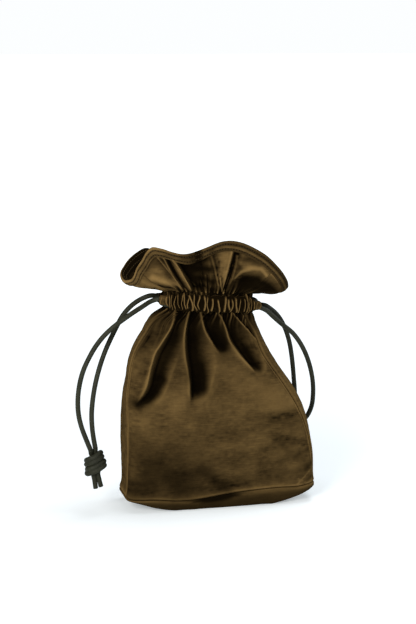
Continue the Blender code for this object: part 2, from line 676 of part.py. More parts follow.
def as_mesh(obj, collection):
    """The same tube as a mesh with its caps welded on, for a Boolean."""
    bpy.context.view_layer.update()
    evaluated = obj.evaluated_get(bpy.context.evaluated_depsgraph_get())
    mesh = bpy.data.meshes.new_from_object(evaluated)
    weld(mesh)
    solid = bpy.data.objects.new(obj.name + "_solid", mesh)
    solid.matrix_world = obj.matrix_world
    collection.objects.link(solid)
    bpy.data.objects.remove(obj)
    return solid


def knot_core(name, centre, collection, material):
    mesh = bpy.data.meshes.new(name)
    shape = bmesh.new()
    bmesh.ops.create_uvsphere(shape, u_segments=12, v_segments=8, radius=0.5)
    bmesh.ops.scale(shape, vec=[s - CORD_DIAMETER * 0.5 for s in KNOT_SIZE], verts=shape.verts)
    shape.to_mesh(mesh)
    shape.free()
    obj = new_object(name, mesh, material, collection)
    obj.location = centre
    return obj


def knot_band(name, centre, shift, lean, collection):
    """One turn of the doubled cord round the knot, leaning like the turns of an overhand knot."""
    width, depth, _ = KNOT_SIZE
    bpy.ops.mesh.primitive_torus_add(
        major_segments=16,
        minor_segments=8,
        major_radius=(width - CORD_DIAMETER) / 2,
        minor_radius=CORD_DIAMETER / 2,
    )
    obj = bpy.context.object
    obj.name = name
    squash = (depth - CORD_DIAMETER) / (width - CORD_DIAMETER)
    for vert in obj.data.vertices:
        vert.co.y *= squash
    obj.rotation_euler = (0, lean, 0)
    obj.location = centre + np.array((0, 0, shift))
    for home in obj.users_collection:
        home.objects.unlink(obj)
    collection.objects.link(obj)
    return obj


def make_knot(name, strands, tail_ends, collection, helpers, material):
    """An overhand knot in the doubled cord: a rounded core, leaning turns and the two tails. Each strand
    comes in as its last two points."""
    top = np.mean([end for _, end in strands], axis=0)
    centre = top - np.array((0, 0, KNOT_SIZE[2] / 2))
    centre[0] += 0.5 * (np.mean(tail_ends, axis=0)[0] - top[0])
    knot = knot_core(name, centre, collection, material)
    pieces = []
    for i, ((before, end), tail_end) in enumerate(zip(strands, tail_ends)):
        inward = (end - before) / np.linalg.norm(end - before)
        start = end + inward * CLEARANCE
        inside = [centre + (place - centre) * 0.4 for place in (start, tail_end)]
        bend = along((start + inward * CORD_DIAMETER / 2, *inside, tail_end), CORD_STEP / 2, CORD_STEP / 2)
        way = np.vstack((start, bend))
        tube = make_tube(f"{name}_tail_{i}", way, CORD_DIAMETER, helpers, material)
        pieces.append(as_mesh(tube, helpers))
    for i, shift in enumerate((-0.17, 0.0, 0.17)):
        pieces.append(knot_band(f"{name}_turn_{i}", centre, shift * KNOT_SIZE[2], math.radians(28), helpers))
    for piece in pieces:
        piece.hide_render = True
        piece.display_type = "WIRE"
        join = knot.modifiers.new(piece.name, "BOOLEAN")
        join.operation = "UNION"
        join.object = piece
    return knot


# Materials


def principled(name, colour, roughness):
    material = bpy.data.materials.new(name)
    material.use_nodes = True
    shader = material.node_tree.nodes["Principled BSDF"]
    shader.inputs["Base Color"].default_value = (*colour, 1)
    shader.inputs["Roughness"].default_value = roughness
    material.diffuse_color = (*colour, 1)
    return material


def make_cloth_material():
    return principled("satin_cloth", (0.095, 0.060, 0.024), 0.5)


def make_cord_material():
    return principled("satin_cord", (0.045, 0.046, 0.034), 0.45)


def new_collection(name):
    collection = bpy.data.collections.new(name)
    bpy.context.scene.collection.children.link(collection)
    return collection


def main():
    for obj in list(bpy.data.objects):
        bpy.data.objects.remove(obj)
    pouch = new_collection("drawstring_pouch")
    helpers = new_collection("helpers")
    cloth = make_cloth_material()
    cord = make_cord_material()

    for index in range(len(SIDES)):
        make_panel(index, pouch, cloth)
    make_base(pouch, cloth)
    make_band(pouch, cloth)
    make_casing("front_casing", 0, pouch, cloth)
    make_casing("back_casing", 4, pouch, cloth)

    lane = (CORD_DIAMETER + LANE_GAP) / 2
    left = drawcord_route(-CASING_END, 1, lane, LEFT_FRONT_ROUTE, LEFT_BACK_ROUTE)
    right = drawcord_route(CASING_END, -1, -lane, RIGHT_FRONT_ROUTE, RIGHT_BACK_ROUTE)
    for side, route, tail_ends in (("left", left, LEFT_TAIL_ENDS), ("right", right, RIGHT_TAIL_ENDS)):
        points = along(route, CORD_STEP, CORD_BEND_STEP)
        make_tube(f"{side}_drawcord", points, CORD_DIAMETER, pouch, cord)
        make_knot(f"{side}_knot", (points[1::-1], points[-2:]), tail_ends, pouch, helpers, cord)


main()
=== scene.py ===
"""Looks of the drawstring pouch: dark bronze satin, gathered by two round cords, on a white floor.

The cloth is drawn as fine shells in mesh code: the pouch's own section and mouth carry folds that are given
as lines, with small gathers at the neck, seams, a stitched band and pleated casings. The cords are tubes on
the routes of the solids, and each is tied in a real overhand knot of two strands.
"""

import math
from collections import namedtuple

import bpy
import numpy as np
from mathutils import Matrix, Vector

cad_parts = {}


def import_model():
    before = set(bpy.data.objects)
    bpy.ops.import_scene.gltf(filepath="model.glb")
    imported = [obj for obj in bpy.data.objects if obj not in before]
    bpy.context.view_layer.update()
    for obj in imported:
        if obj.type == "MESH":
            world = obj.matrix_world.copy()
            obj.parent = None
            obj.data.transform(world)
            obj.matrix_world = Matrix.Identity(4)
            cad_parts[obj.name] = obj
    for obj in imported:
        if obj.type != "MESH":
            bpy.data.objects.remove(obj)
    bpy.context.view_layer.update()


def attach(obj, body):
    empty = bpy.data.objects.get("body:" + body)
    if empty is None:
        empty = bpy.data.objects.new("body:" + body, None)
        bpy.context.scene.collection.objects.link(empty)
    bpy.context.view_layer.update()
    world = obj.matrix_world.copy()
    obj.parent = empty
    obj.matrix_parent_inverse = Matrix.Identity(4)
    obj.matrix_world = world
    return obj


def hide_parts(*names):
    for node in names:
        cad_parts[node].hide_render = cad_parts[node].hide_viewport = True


MM = 0.001

# The same sizes as the part's source
BASE_WIDTH = 188 * MM
BASE_DEPTH = 62 * MM
NECK_WIDTH = 88 * MM
NECK_DEPTH = 32 * MM
NECK_HEIGHT = 201 * MM
NECK_TILT = -0.07
LEAN = -16 * MM
BASE_SEAM_HEIGHT = 15 * MM
BASE_SEAM_RIDGE = 1.2 * MM
BASE_BULGE = 1.8 * MM
CORNER_LIFT = 10 * MM
CASING_DOWN = 8 * MM
CASING_UP = 11 * MM
RUFFLE_ROOM = 2.2 * MM
CASING_TAB = 12 * MM
CASING_END = 1.2
CORD_DIAMETER = 4.6 * MM
LANE_GAP = 0.9 * MM
CORD_ROOM = 0.8 * MM
CLEARANCE = 0.3 * MM
KNOT_SIZE = (22 * MM, 17 * MM, 26.6 * MM)

# Share of the neck's height: lean share, shares of the way from neck to base in width and depth, squareness
SECTIONS = (
    (0, 0, 1, 1, 8),
    (0.075, 0, 1, 1, 8),
    (0.25, 0, 1, 1.3, 6),
    (0.448, 0.25, 0.92, 1.42, 4.5),
    (0.607, 0.66, 0.76, 1.3, 3.5),
    (0.766, 1, 0.5, 1, 2.8),
    (0.846, 0.98, 0.33, 0.72, 2.6),
    (0.925, 0.84, 0.15, 0.36, 2.6),
    (0.945, 0.66, 0.07, 0.17, 2.7),
    (0.962, 0.55, 0, 0, 2.8),
    (1, 0.55, 0, 0, 2.8),
    (1.03, 0.54, 0, 0, 2.8),
    (1.06, 0.52, 0.02, 0.02, 2.8),
)
BASE_SEAM = (
    (-1, 0.87), (-0.75, 0.86), (-0.48, 0.7), (0.16, 1.04), (0.58, 1.16), (0.85, 1.16), (1, 1.32),
)
LEFT_SEAM = (
    (0, -1.46), (0.45, -1.48), (0.6, -1.58), (0.8, -1.6), (0.905, -1.4), (0.96, -1.15), (1.06, -1.1),
)
RIGHT_SEAM = (
    (0, 1.15), (0.45, 1.15), (0.75, 1.08), (0.905, 1.1), (0.96, 0.85), (1, 0.75), (1.06, 0.75),
)
MOUTH = np.array((
    (-83, -20.5, 241), (-79, -23.5, 248), (-75, -26.5, 256), (-71, -28.5, 260), (-62, -29.5, 259),
    (-50, -29, 255), (-37.5, -26, 252.5), (-25, -25, 255), (-13.5, -27, 259.5), (-2.5, -31, 264),
    (6, -35, 265), (16, -38, 263), (28, -38.5, 257.5), (40, -38, 250), (51.5, -34, 239.5),
    (60, -27.5, 230.5), (67, -17, 221), (70.5, -3, 213.8), (67.5, 10, 211), (60, 20, 213), (45, 30, 222),
    (28, 33, 232), (8, 34, 238), (-15, 34, 242), (-36, 33, 245), (-52, 28, 248), (-61, 22.5, 251),
    (-67, 19, 253.5), (-78, 12.5, 250), (-91, 3, 240), (-96.3, -4, 231.8), (-94, -9.5, 226.5),
    (-88.8, -13.5, 227.5),
)) * MM
MOUTH_SEAMS = (0, 14, 19, 27, 33)
RUFFLE_DROOP = (3 * MM, 9 * MM)  # how far the ruffle's left and right ends sag

# The cords' routes from the casing to the knot, and the tails' ends, as in the part's source
LEFT_FRONT_ROUTE = np.array((
    (-66, -6.5, 205.6), (-77.6, -11, 200.4), (-88.8, -13, 194.2), (-98.4, -14, 188.1),
    (-106.5, -14, 182.2), (-114.6, -14, 174.9), (-122.7, -14, 165.2), (-129.5, -14, 154),
    (-135.4, -14, 141.5), (-139.3, -14, 127.5), (-141.1, -14, 111.9), (-140.5, -14, 98),
    (-137.8, -14.5, 85.5), (-134, -15, 74.5), (-129.6, -15, 63),
)) * MM
LEFT_BACK_ROUTE = np.array((
    (-66, 4.5, 208.9), (-73.5, 5.5, 206.2), (-81.2, 5.5, 201.9), (-89, 5, 195.2), (-95, 3.5, 188),
    (-99.8, 1, 180.3), (-105.8, -2, 170.3), (-111.2, -4, 160), (-116.5, -6, 147.5), (-122.1, -8, 129.8),
    (-125.8, -10, 112.4), (-127.4, -11, 96.8), (-127.1, -12, 83.3), (-125.8, -12.5, 72.2),
    (-124.2, -12, 63),
)) * MM
RIGHT_FRONT_ROUTE = np.array((
    (49.5, -4, 191), (57, -0.5, 184.4), (66.2, 4, 176.4), (80.7, 9, 164.4), (89.8, 14, 153.3),
    (98.1, 19, 139), (104.5, 24, 122.9), (108.4, 29, 108.8), (110.4, 34, 94), (110.2, 38.5, 80.6),
    (106.8, 42.5, 69.8), (98, 47.5, 59.5),
)) * MM
RIGHT_BACK_ROUTE = np.array((
    (50, 4.5, 194.8), (56.5, 9, 190.9), (63.3, 13, 185.4), (71.4, 19, 175.9), (77.4, 23, 165),
    (82.1, 26, 152.3), (85.5, 29, 137.9), (87.9, 32, 124.8), (90.1, 35.5, 111.5), (92.2, 39, 98),
    (93.7, 43, 84.5), (94, 46.5, 71.5), (92.8, 48.5, 59.5),
)) * MM
LEFT_TAIL_ENDS = np.array(((-124.8, -14, 24), (-119.6, -14, 25.5))) * MM
RIGHT_TAIL_ENDS = np.array(((95.6, 47.5, 21), (90.4, 48.5, 23))) * MM

# The front's folds, from left to right. The crest and the far side of its hollow are lines (x, z, x, z and so
# on) from the neck down; then the crest's height, the hollow's depth, where both end and the end's length
FRONT_FOLDS = (
    ((-60, 196, -70, 187, -78.5, 176, -84.5, 162, -88.5, 148),
     (-46, 196, -53, 182, -62, 168, -69, 158, -74, 148), 1.6, 2.6, 146, 24),
    ((-44.5, 195, -50, 182, -59.3, 168, -66.4, 158, -70.8, 147, -78, 122.5, -87, 108),
     (-29.7, 198, -35.6, 184.5, -40, 167, -45, 153, -52, 138, -57, 125, -66, 108), 2.2, 7.5, 108, 13),
    ((-29.7, 198, -35.6, 184.5, -38.8, 167, -38.7, 153, -36.8, 140, -35.7, 129, -36, 108),
     (-19.1, 199, -19.5, 185.4, -15, 175, -10, 160, -8, 148, -12, 130, -20, 108), 2.4, 9, 110, 14),
    ((-19.1, 199, -19.5, 185.4, -17.4, 177, -11.6, 166, -7, 158, -3, 150),
     (-4.8, 199, 2.8, 179.4, 8, 166, 9, 158, 8, 150), 2.2, 7, 155, 10),
    ((-4.8, 199, 2.8, 179.4, 7.3, 165, 17.9, 150, 27.1, 139, 33, 130),
     (8.3, 196.6, 20.2, 182.3, 34, 166, 42, 155, 43, 145, 42, 130), 2.4, 5.5, 134, 11),
    ((8.3, 196.6, 20.2, 182.3, 34.1, 166, 44, 154, 52, 141),
     (18, 198, 29.8, 183.6, 41, 164, 50, 146, 56, 136), 1.8, 2.6, 141, 16),
)
# The same for the back, whose x runs as its own left to right
BACK_FOLDS = (
    ((-36, 196, -46, 182, -57, 166, -66, 148, -72, 130),
     (-24, 196, -34, 182, -42, 166, -50, 148, -58, 130), 2, 5.5, 128, 16),
    ((-20, 198, -26, 183, -29, 166, -31, 150, -30, 120),
     (-8, 198, -12, 183, -10, 166, -10, 150, -14, 120), 2.4, 8, 118, 16),
    ((-6, 198, -5, 184, -1, 168, 4, 156),
     (6, 198, 12, 184, 18, 168, 18, 156), 2.2, 6.5, 150, 12),
    ((10, 198, 18, 184, 30, 166, 38, 148, 44, 130),
     (22, 198, 32, 184, 45, 166, 52, 148, 54, 130), 2.4, 6.5, 130, 14),
    ((26, 198, 38, 184, 52, 168, 63, 150),
     (36, 198, 49, 184, 62, 168, 72, 150), 1.8, 3, 148, 18),
)
# Broad dents of the front's lower part: middle, half sizes, turn in degrees and depth
FRONT_DENTS = (
    (62, 92, 26, 7, 8, 1.7),
    (70, 64, 24, 6, -16, 1.6),
    (74, 48, 18, 6, 12, 1.3),
    (8, 22, 26, 8, -28, 1.5),
    (-60, 60, 16, 30, 12, 1),
    (20, 66, 34, 9, 6, -1),
    (-30, 88, 20, 14, 30, -1.2),
)
BACK_DENTS = (
    (-50, 90, 26, 8, 14, 1.6),
    (30, 70, 34, 9, -12, 1.5),
    (-20, 40, 30, 8, 8, 1.4),
    (60, 50, 16, 22, 20, 1.2),
)
HOLLOW_SHARE = 0.95  # how deep the thin cloth's hollows are, as a share of the tables' depths
CREST_SHARE = 0.50  # the same for the crests' heights
RUFFLE_CREST_SHARE = 0.7

# The ruffle's folds: the crest's place at the neck and at the mouth, the far side's places, the crest's
# height, the hollow's depth, the share of the hollow's width at which its far wall starts
RUFFLE_FRONT = (
    (-0.535, -0.6, -0.36, -0.49, 2.6, 3.2, 0.45),
    (-0.29, -0.47, 0.17, 0.02, 2.8, 7.5, 0.72),
    (0.4, 0.36, 0.56, 0.52, 1.4, 3.4, 0.45),
)
RUFFLE_BACK = (
    (-0.6, -0.55, -0.36, -0.38, 2.2, 4, 0.45),
    (-0.15, -0.12, 0.16, 0.2, 2.4, 6, 0.6),
    (0.35, 0.42, 0.6, 0.68, 2.2, 4.5, 0.5),
)

# Painted shade and painted highlights of the front: half width, darkness (below 0 for a painted highlight)
# and a line (x, z, x, z ...)
FRONT_SHADES = (
    (7.2, 0.99, -85, 109, -76, 113, -69, 121, -63, 132),
    (5, 0.65, -62, 134, -60, 145, -52, 160, -45, 175),
    (7.5, 0.98, -31, 121, -33, 132, -32, 145, -30, 156),
    (7, 0.96, -22, 122, -21, 134, -23, 145),
    (5, 0.6, -28, 160, -27, 172, -25, 186),
    (7, 0.99, -1, 160, -5, 168, -9, 178, -12, 190),
    (4, 0.7, 3, 166, -1, 174, -6, 186),
    (5, 0.9, 35, 139, 30, 148, 24, 158),
    (4, 0.45, 24, 158, 15, 170, 6, 184),
    (3, 0.45, 46, 150, 34, 168, 22, 184),
    (3.5, 0.6, -88, 160, -80, 176, -70, 188, -58, 195),
    (6, 0.5, -24, 41, -10, 30, 4, 18),
    (24, 0.7, -90, 24, -66, 40, -44, 30),
    (20, 0.25, -70, 60, -30, 50),
    (13, 0.4, -78, 150, -60, 185),
    (19, 0.42, -50, 172, 0, 176, 36, 178),
    (7, 0.3, -48, 140, -44, 160),
    (1, -0.5, 74.8, 19.6, 89.9, 33.8),
    (1, -0.45, 75.6, 24.6, 89.7, 17.6),
    (3.5, 0.5, 84, 34, 90, 40),
    (2.5, 0.6, 82, 20, 90, 26),
    (12, 0.3, -86, 74, -80, 50),
    (7, 0.3, -40, 22, 0, 20, 50, 30, 90, 34),
    (5, 0.35, 56, 62, 68, 54, 82, 44),
    (4.5, 0.15, 24, 95, 48, 90, 74, 82),
    (5, 0.2, 62, 90, 78, 86, 90, 78),
    (14, -0.35, 40, 112, 66, 102),
    (7, -0.25, -50, 100, -42, 112, -36, 124),
    (12, -0.2, 10, 128, 30, 122, 52, 118),
)
BACK_SHADES = (
    (5.5, 0.8, -60, 130, -52, 146, -42, 166, -32, 184),
    (6.5, 0.9, -22, 122, -20, 140, -19, 160, -18, 184),
    (5, 0.8, 10, 156, 8, 170, 2, 186),
    (5.5, 0.8, 46, 134, 42, 150, 34, 168, 22, 186),
    (4, 0.55, 66, 150, 56, 166, 42, 184),
    (6, 0.3, -50, 60, -20, 56, 10, 64),
    (6, 0.3, 30, 90, 56, 84, 76, 90),
)
# The same for the ruffle, at places across from -1 to 1 and shares up
RUFFLE_FRONT_SHADES = (
    (2.6, 0.95, -0.61, 0.8, -0.56, 0.62, -0.51, 0.4, -0.46, 0.2),
    (2.4, 0.45, -0.53, 0.72, -0.48, 0.5, -0.42, 0.28),
    (3.2, 0.7, -0.4, 0.84, -0.3, 0.62, -0.2, 0.38, -0.12, 0.12),
    (7, 0.88, -0.24, 0.76, -0.1, 0.72, 0.03, 0.76),
    (9, 0.97, -0.18, 0.56, -0.02, 0.52, 0.08, 0.52),
    (8, 0.97, -0.12, 0.3, 0.02, 0.28, 0.16, 0.24),
    (4, 0.95, -0.06, 0.1, 0.1, 0.08, 0.26, 0.08),
    (2.8, 0.85, 0.53, 0.62, 0.55, 0.4, 0.54, 0.16),
    (3.2, 0.6, 0.52, 0.76, 0.62, 0.8, 0.74, 0.82),
    (8.5, 0.98, 0.66, 0.08, 0.72, 0.24, 0.8, 0.38, 0.92, 0.48),
    (12, 0.98, 0.8, 0.08, 0.9, 0.24, 1, 0.4),
    (2.8, 0.97, -0.99, 0.36, -0.94, 0.24, -0.86, 0.14),
    (3, 0.9, -0.56, 0.12, -0.7, 0.07, -0.84, 0.04),
    (3, 0.55, -0.95, 0.86, -0.86, 0.82, -0.74, 0.84),
    (3.4, 0.45, -0.72, 0.74, -0.66, 0.6, -0.6, 0.46),
    (4.6, -1, -0.93, 0.6, -0.86, 0.46, -0.76, 0.35, -0.62, 0.19),
    (4, -0.3, -0.9, 0.72, -0.8, 0.66, -0.7, 0.6),
    (2.6, -0.9, 0.57, 0.34, 0.6, 0.52, 0.69, 0.68, 0.84, 0.74, 0.98, 0.7),
    (7, -0.48, 0.28, 0.72, 0.33, 0.5, 0.37, 0.24),
)
RUFFLE_RIGHT_SHADES = (
    (16, 0.97, -1, 0.02, -0.4, 0.1, 0.2, 0.2),
    (14, 0.97, -1, 0.3, -0.6, 0.35, -0.2, 0.4),
    (9, 0.96, -1, 0.5, -0.5, 0.54, 0, 0.54),
    (3, -0.6, -1, 0.8, -0.6, 0.8, -0.2, 0.8),
)
RUFFLE_LEFT_SHADES = (
    (3.2, 0.97, 0.78, 0.36, 0.4, 0.22, 0.06, 0.1, -0.5, 0.02),
    (2.8, -0.6, 0.57, 0.77, 0.36, 0.52, 0.1, 0.34, -0.3, 0.22),
    (5, -0.45, 1, 0.2, 0.9, 0.45, 0.8, 0.7),
)
RUFFLE_BACK_SHADES = (
    (4.5, 0.75, -0.45, 0.8, -0.47, 0.5, -0.48, 0.1),
    (6.5, 0.85, 0.08, 0.8, 0.04, 0.5, 0.02, 0.1),
    (5, 0.75, 0.56, 0.8, 0.5, 0.5, 0.46, 0.1),
    (4, 0.5, -0.85, 0.1, -0.88, 0.4, -0.9, 0.7),
    (4, 0.5, 0.8, 0.1, 0.84, 0.4, 0.88, 0.7),
    (3, -0.4, -0.22, 0.75, -0.2, 0.45, -0.18, 0.2),
    (3, -0.4, 0.28, 0.75, 0.26, 0.45, 0.24, 0.2),
)
# Soft swellings and hollows of the ruffle: height in millimetres, place across and up, half sizes
RUFFLE_FRONT_SPOTS = (
    (4.5, -0.78, 0.42, 0.13, 0.24),
    (-4, -0.9, 0.1, 0.1, 0.14),
    (2.6, 0.66, 0.66, 0.16, 0.12),
    (-6.5, 0.74, 0.34, 0.2, 0.18),
    (1.6, 0.28, 0.35, 0.1, 0.4),
)
RUFFLE_BACK_SPOTS = ((3, -0.8, 0.45, 0.14, 0.25), (3, 0.84, 0.45, 0.14, 0.25))
RUFFLE_GUSSET_SPOTS = ((-3, 0.05, 0.25, 0.4, 0.22), (1.2, -0.4, 0.6, 0.3, 0.2))
# Narrow ridges of the ruffle's front: half width, height and line
RUFFLE_RIDGES = (
    (0.9, 1.1, -0.67, 0.82, -0.62, 0.62, -0.55, 0.29, -0.5, 0.07),
    (1, 1.2, -0.5, 0.88, -0.43, 0.73, -0.25, 0.26, -0.15, 0.11),
    (0.9, 2, -0.06, 0.26, -0.04, 0.16, -0.03, 0.06),
    (0.9, 2.2, 0.02, 0.38, 0.04, 0.22, 0.06, 0.07),
    (0.9, 1.8, 0.12, 0.16, 0.1, 0.07),
    (1, 1.8, 0.29, 0.34, 0.33, 0.2, 0.4, 0.06),
    (1.1, 1.2, 0.08, 0.79, 0.19, 0.43, 0.27, 0.2),
    (1.1, 1.2, 0.45, 0.76, 0.51, 0.34, 0.5, 0.06),
)

LEAST_FOLD = 3.5  # narrowest hollow of a fold, in millimetres
LIGHT_LIFT = 0.6  # how far below 0 a painted highlight takes the shade
RUFFLE_SCALE = (60, 62)  # middling half width and length of the ruffle's front, in millimetres
NECK_HALVES = (44.0, 15.0)  # about half the neck's width and depth, in millimetres
RUFFLE_FLARE = 34  # how much wider each half of the ruffle is at the mouth, in millimetres
BODY_ROWS = 150
RUFFLE_ROWS = 72
CLOTH = 0.9 * MM
EDGE_IN = 1.2 * MM  # how far the cloth's own edge stays under the band's
PLEAT_PITCH = 4.4 * MM

# The four panels. Flat is the cloth's flat width and height in metres. Body is its folds, dents and strokes,
# and ruffle its folds, spots and strokes
Side = namedtuple("Side", "name seams columns flat body ruffle")
PLAIN = ((), (), ())
SIDES = (
    Side("front_panel", (-1, 1), 190, (0.196, 0.268), (FRONT_FOLDS, FRONT_DENTS, FRONT_SHADES),
         (RUFFLE_FRONT, RUFFLE_FRONT_SPOTS, RUFFLE_FRONT_SHADES)),
    Side("right_gusset", (1, 3), 64, (0.060, 0.240), PLAIN, ((), RUFFLE_GUSSET_SPOTS, RUFFLE_RIGHT_SHADES)),
    Side("back_panel", (3, 5), 170, (0.170, 0.256), (BACK_FOLDS, BACK_DENTS, BACK_SHADES),
         (RUFFLE_BACK, RUFFLE_BACK_SPOTS, RUFFLE_BACK_SHADES)),
    Side("left_gusset", (5, 7), 64, (0.050, 0.262), PLAIN, ((), RUFFLE_GUSSET_SPOTS, RUFFLE_LEFT_SHADES)),
)


# Curves and helpers


def smooth_step(x):
    x = np.clip(x, 0.0, 1.0)
    return x * x * (3 - 2 * x)


def hump(x, width, power=2):
    """From 1 at 0 down to nothing on both sides."""
    return np.exp(-(np.abs(x / width) ** power))


def unit(vectors):
    return vectors / np.maximum(np.linalg.norm(vectors, axis=-1, keepdims=True), 1e-12)


def through(table, at):
    """Values read from a smooth curve through a table whose first column is the place."""
    rows = np.asarray(table, float)
    places, values = rows[:, 0], rows[:, 1:]
    slopes = np.gradient(values, places, axis=0)
    at = np.clip(np.asarray(at, float), places[0], places[-1])
    i = np.clip(np.searchsorted(places, at, side="right") - 1, 0, len(places) - 2)
    step = (places[i + 1] - places[i])[..., None]
    f = (at - places[i])[..., None] / step
    return (
        (1 + 2 * f) * (1 - f) ** 2 * values[i]
        + f * (1 - f) ** 2 * step * slopes[i]
        + f * f * (3 - 2 * f) * values[i + 1]
        + f * f * (f - 1) * step * slopes[i + 1]
    )


def arc_lengths(points):
    return np.concatenate(([0.0], np.cumsum(np.linalg.norm(np.diff(points, axis=0), axis=1))))


def read_line(at, marks, points):
    """Points of a line at the given marks along it."""
    return np.stack([np.interp(at, marks, column) for column in points.T], axis=-1)


def resample(points, step):
    """Evenly spaced points on a smooth curve through the given ones."""
    marks = arc_lengths(points)
    fine = through(np.column_stack((marks, points)), np.linspace(0, marks[-1], 12 * len(points)))
    marks = arc_lengths(fine)
    count = max(2, int(round(marks[-1] / step)) + 1)
    return read_line(np.linspace(0, marks[-1], count), marks, fine)


def hash_noise(cells, seed):
    """A fixed pseudo-random number from 0 to 1 for each whole-number cell."""
    mixed = np.sin(cells @ np.array((127.1, 311.7, 74.7)) + seed * 19.19) * 43758.5453
    return mixed - np.floor(mixed)


def value_noise(points, size, seed):
    """Smooth noise from -1 to 1 over points in space, with lumps of the given size."""
    at = np.asarray(points, float) / size
    cell = np.floor(at)
    f = smooth_step(at - cell)
    total = 0.0
    for corner in np.ndindex(2, 2, 2):
        corner = np.array(corner, float)
        weight = np.prod(np.where(corner == 1, f, 1 - f), axis=-1)
        total = total + weight * hash_noise(cell + corner, seed)
    return 2 * total - 1


# The pouch's own surface, as in the part's source


def section_ring(place, share):
    """The section at a share of the neck's height: its shift to the side, its points and their outward
    directions. Place is -1 to 1 over the front, 1 to 3 over the right side, 3 to 5 over the back and 5 to 7
    over the left side."""
    lean, width, depth, squareness = np.moveaxis(through(SECTIONS, share), -1, 0)
    half_width = NECK_WIDTH / 2 + width * (BASE_WIDTH - NECK_WIDTH) / 2
    half_depth = NECK_DEPTH / 2 + depth * (BASE_DEPTH - NECK_DEPTH) / 2
    cases = [np.floor((place + 1) / 2) % 4 == k for k in range(4)]
    r = (place + 1) % 2 - 1
    one = np.ones_like(r)
    x = np.select(cases, [r, one, -r, -one])
    y = np.select(cases, [-one, r, one, -r])
    size = (np.abs(x) ** squareness + np.abs(y) ** squareness) ** (1 / squareness)
    x, y = x / size, y / size
    out_x = np.sign(x) * np.abs(x) ** (squareness - 1) / half_width
    out_y = np.sign(y) * np.abs(y) ** (squareness - 1) / half_depth
    length = np.hypot(out_x, out_y)
    return lean * LEAN, half_width * x, half_depth * y, out_x / length, out_y / length


def seam_height(x):
    return BASE_SEAM_HEIGHT * through(BASE_SEAM, 2 * x / BASE_WIDTH)[..., 0]


def level_share(level):
    low = BASE_SEAM_HEIGHT / NECK_HEIGHT
    high = 1 + CASING_UP / NECK_HEIGHT
    return low + level * (high - low)


def body(place, level):
    """The smooth body at a level from 0 at the base seam to 1 at the casings' upper edge."""
    share = level_share(level)
    centre, x, y, out_x, out_y = section_ring(place, share)
    out = BASE_SEAM_RIDGE * (1 - smooth_step(level / 0.06))
    lift = (seam_height(x) - BASE_SEAM_HEIGHT) * (1 - smooth_step(level / 0.35))
    x = x + out * out_x + centre
    tilt = NECK_TILT * smooth_step((share - 0.55) / 0.4)
    return np.stack((x, y + out * out_y, share * NECK_HEIGHT + lift + tilt * x), axis=-1)


def mouth_table():
    """Marks along the mouth, and its points with a few more at both ends, so that it closes smoothly."""
    marks = arc_lengths(np.vstack((MOUTH, MOUTH[:1])))
    before, during, after = (np.column_stack((marks[:-1] + k * marks[-1], MOUTH)) for k in (-1, 0, 1))
    return marks, np.vstack((before[-3:], during, after[:4]))


MOUTH_MARKS, MOUTH_TABLE = mouth_table()


def mouth(place):
    """The mouth's edge, with the four seams at -1, 1, 3 and 5."""
    turn = (place + 1) % 8
    return through(MOUTH_TABLE, np.interp(turn, (0, 2, 4, 6, 8), MOUTH_MARKS[list(MOUTH_SEAMS)]))


def ruffle(neck_place, mouth_place, t):
    """The smooth ruffle, from the neck at t 0 to the mouth at t 1."""
    neck = body(neck_place, np.ones_like(neck_place))
    edge = mouth(mouth_place)
    way = edge - neck
    sideways = np.minimum(1.0, np.abs(way[..., 0]) / np.linalg.norm(way, axis=-1))
    level_part = 0.42 + 0.28 * sideways
    middle = neck + way * np.stack((level_part, level_part, 0.45 - 0.17 * sideways), axis=-1)
    droop = np.where(way[..., 0] > 0, RUFFLE_DROOP[1], RUFFLE_DROOP[0])
    middle[..., 2] -= droop * smooth_step((sideways - 0.6) / 0.35)
    t = t[..., None]
    return (1 - t) ** 2 * neck + 2 * t * (1 - t) * middle + t * t * edge


def seam_place(seam, level):
    """Where a seam runs round the section. Seam -1 is the front's left, then 1, 3 and 5 round to 7."""
    share = level_share(level)
    if seam == 1:
        return through(RIGHT_SEAM, share)[..., 0]
    if seam in (-1, 7):
        return through(LEFT_SEAM, share)[..., 0] + (seam + 1)
    return np.full_like(level, float(seam))


def panel_base(side, shares, level):
    """A panel's smooth face at shares from 0 to 1 between its seams and at levels from 0 to 2, with the place
    round the body and the share up the ruffle."""
    shares, level = np.broadcast_arrays(shares, level)
    low = np.minimum(level, 1.0)
    first, last = (seam_place(seam, low) for seam in side.seams)
    place = first + shares * (last - first)
    mouth_place = side.seams[0] + shares * (side.seams[1] - side.seams[0])
    t = np.clip(level - 1, 0, 1)
    points = np.where((level <= 1)[..., None], body(place, low), ruffle(place, mouth_place, t))
    return points, place, t


def ruffle_length(side, shares):
    top, neck = (panel_base(side, shares, level)[0] for level in (2.0, 1.0))
    return np.linalg.norm(top - neck, axis=-1)


# Folds


def grid_normals(points):
    """Outward normals of a grid whose columns run against the clock and whose rows run up."""
    return unit(np.cross(np.gradient(points, axis=1), np.gradient(points, axis=0)))


def fold_crest(d):
    """A fold's soft rise and narrow crest, at d millimetres across it."""
    return hump(d, np.where(d < 0, 3.4, 1.1))


def fold_hollow(s, wall):
    """The hollow beside a crest, at shares across it, with a far wall from the given share."""
    return smooth_step((s + 0.02) / 0.24) * (1 - smooth_step((s - wall) / (1 - wall)))


# Painted shade in a fold's hollow
def fold_dark(s, depth):
    dark = 0.85 * min(depth / 6, 1)
    return dark * smooth_step((s - 0.03) / 0.18) * (1 - smooth_step((s - 0.20) / 0.80))


# Painted highlight along a fold's crest
def fold_light(d):
    return 0.55 * hump(d + 0.3, 0.8)


def line_at(line, z):
    """The x of a line from the neck down, at z."""
    return through(np.reshape(line, (-1, 2))[::-1, ::-1], z)[..., 0]


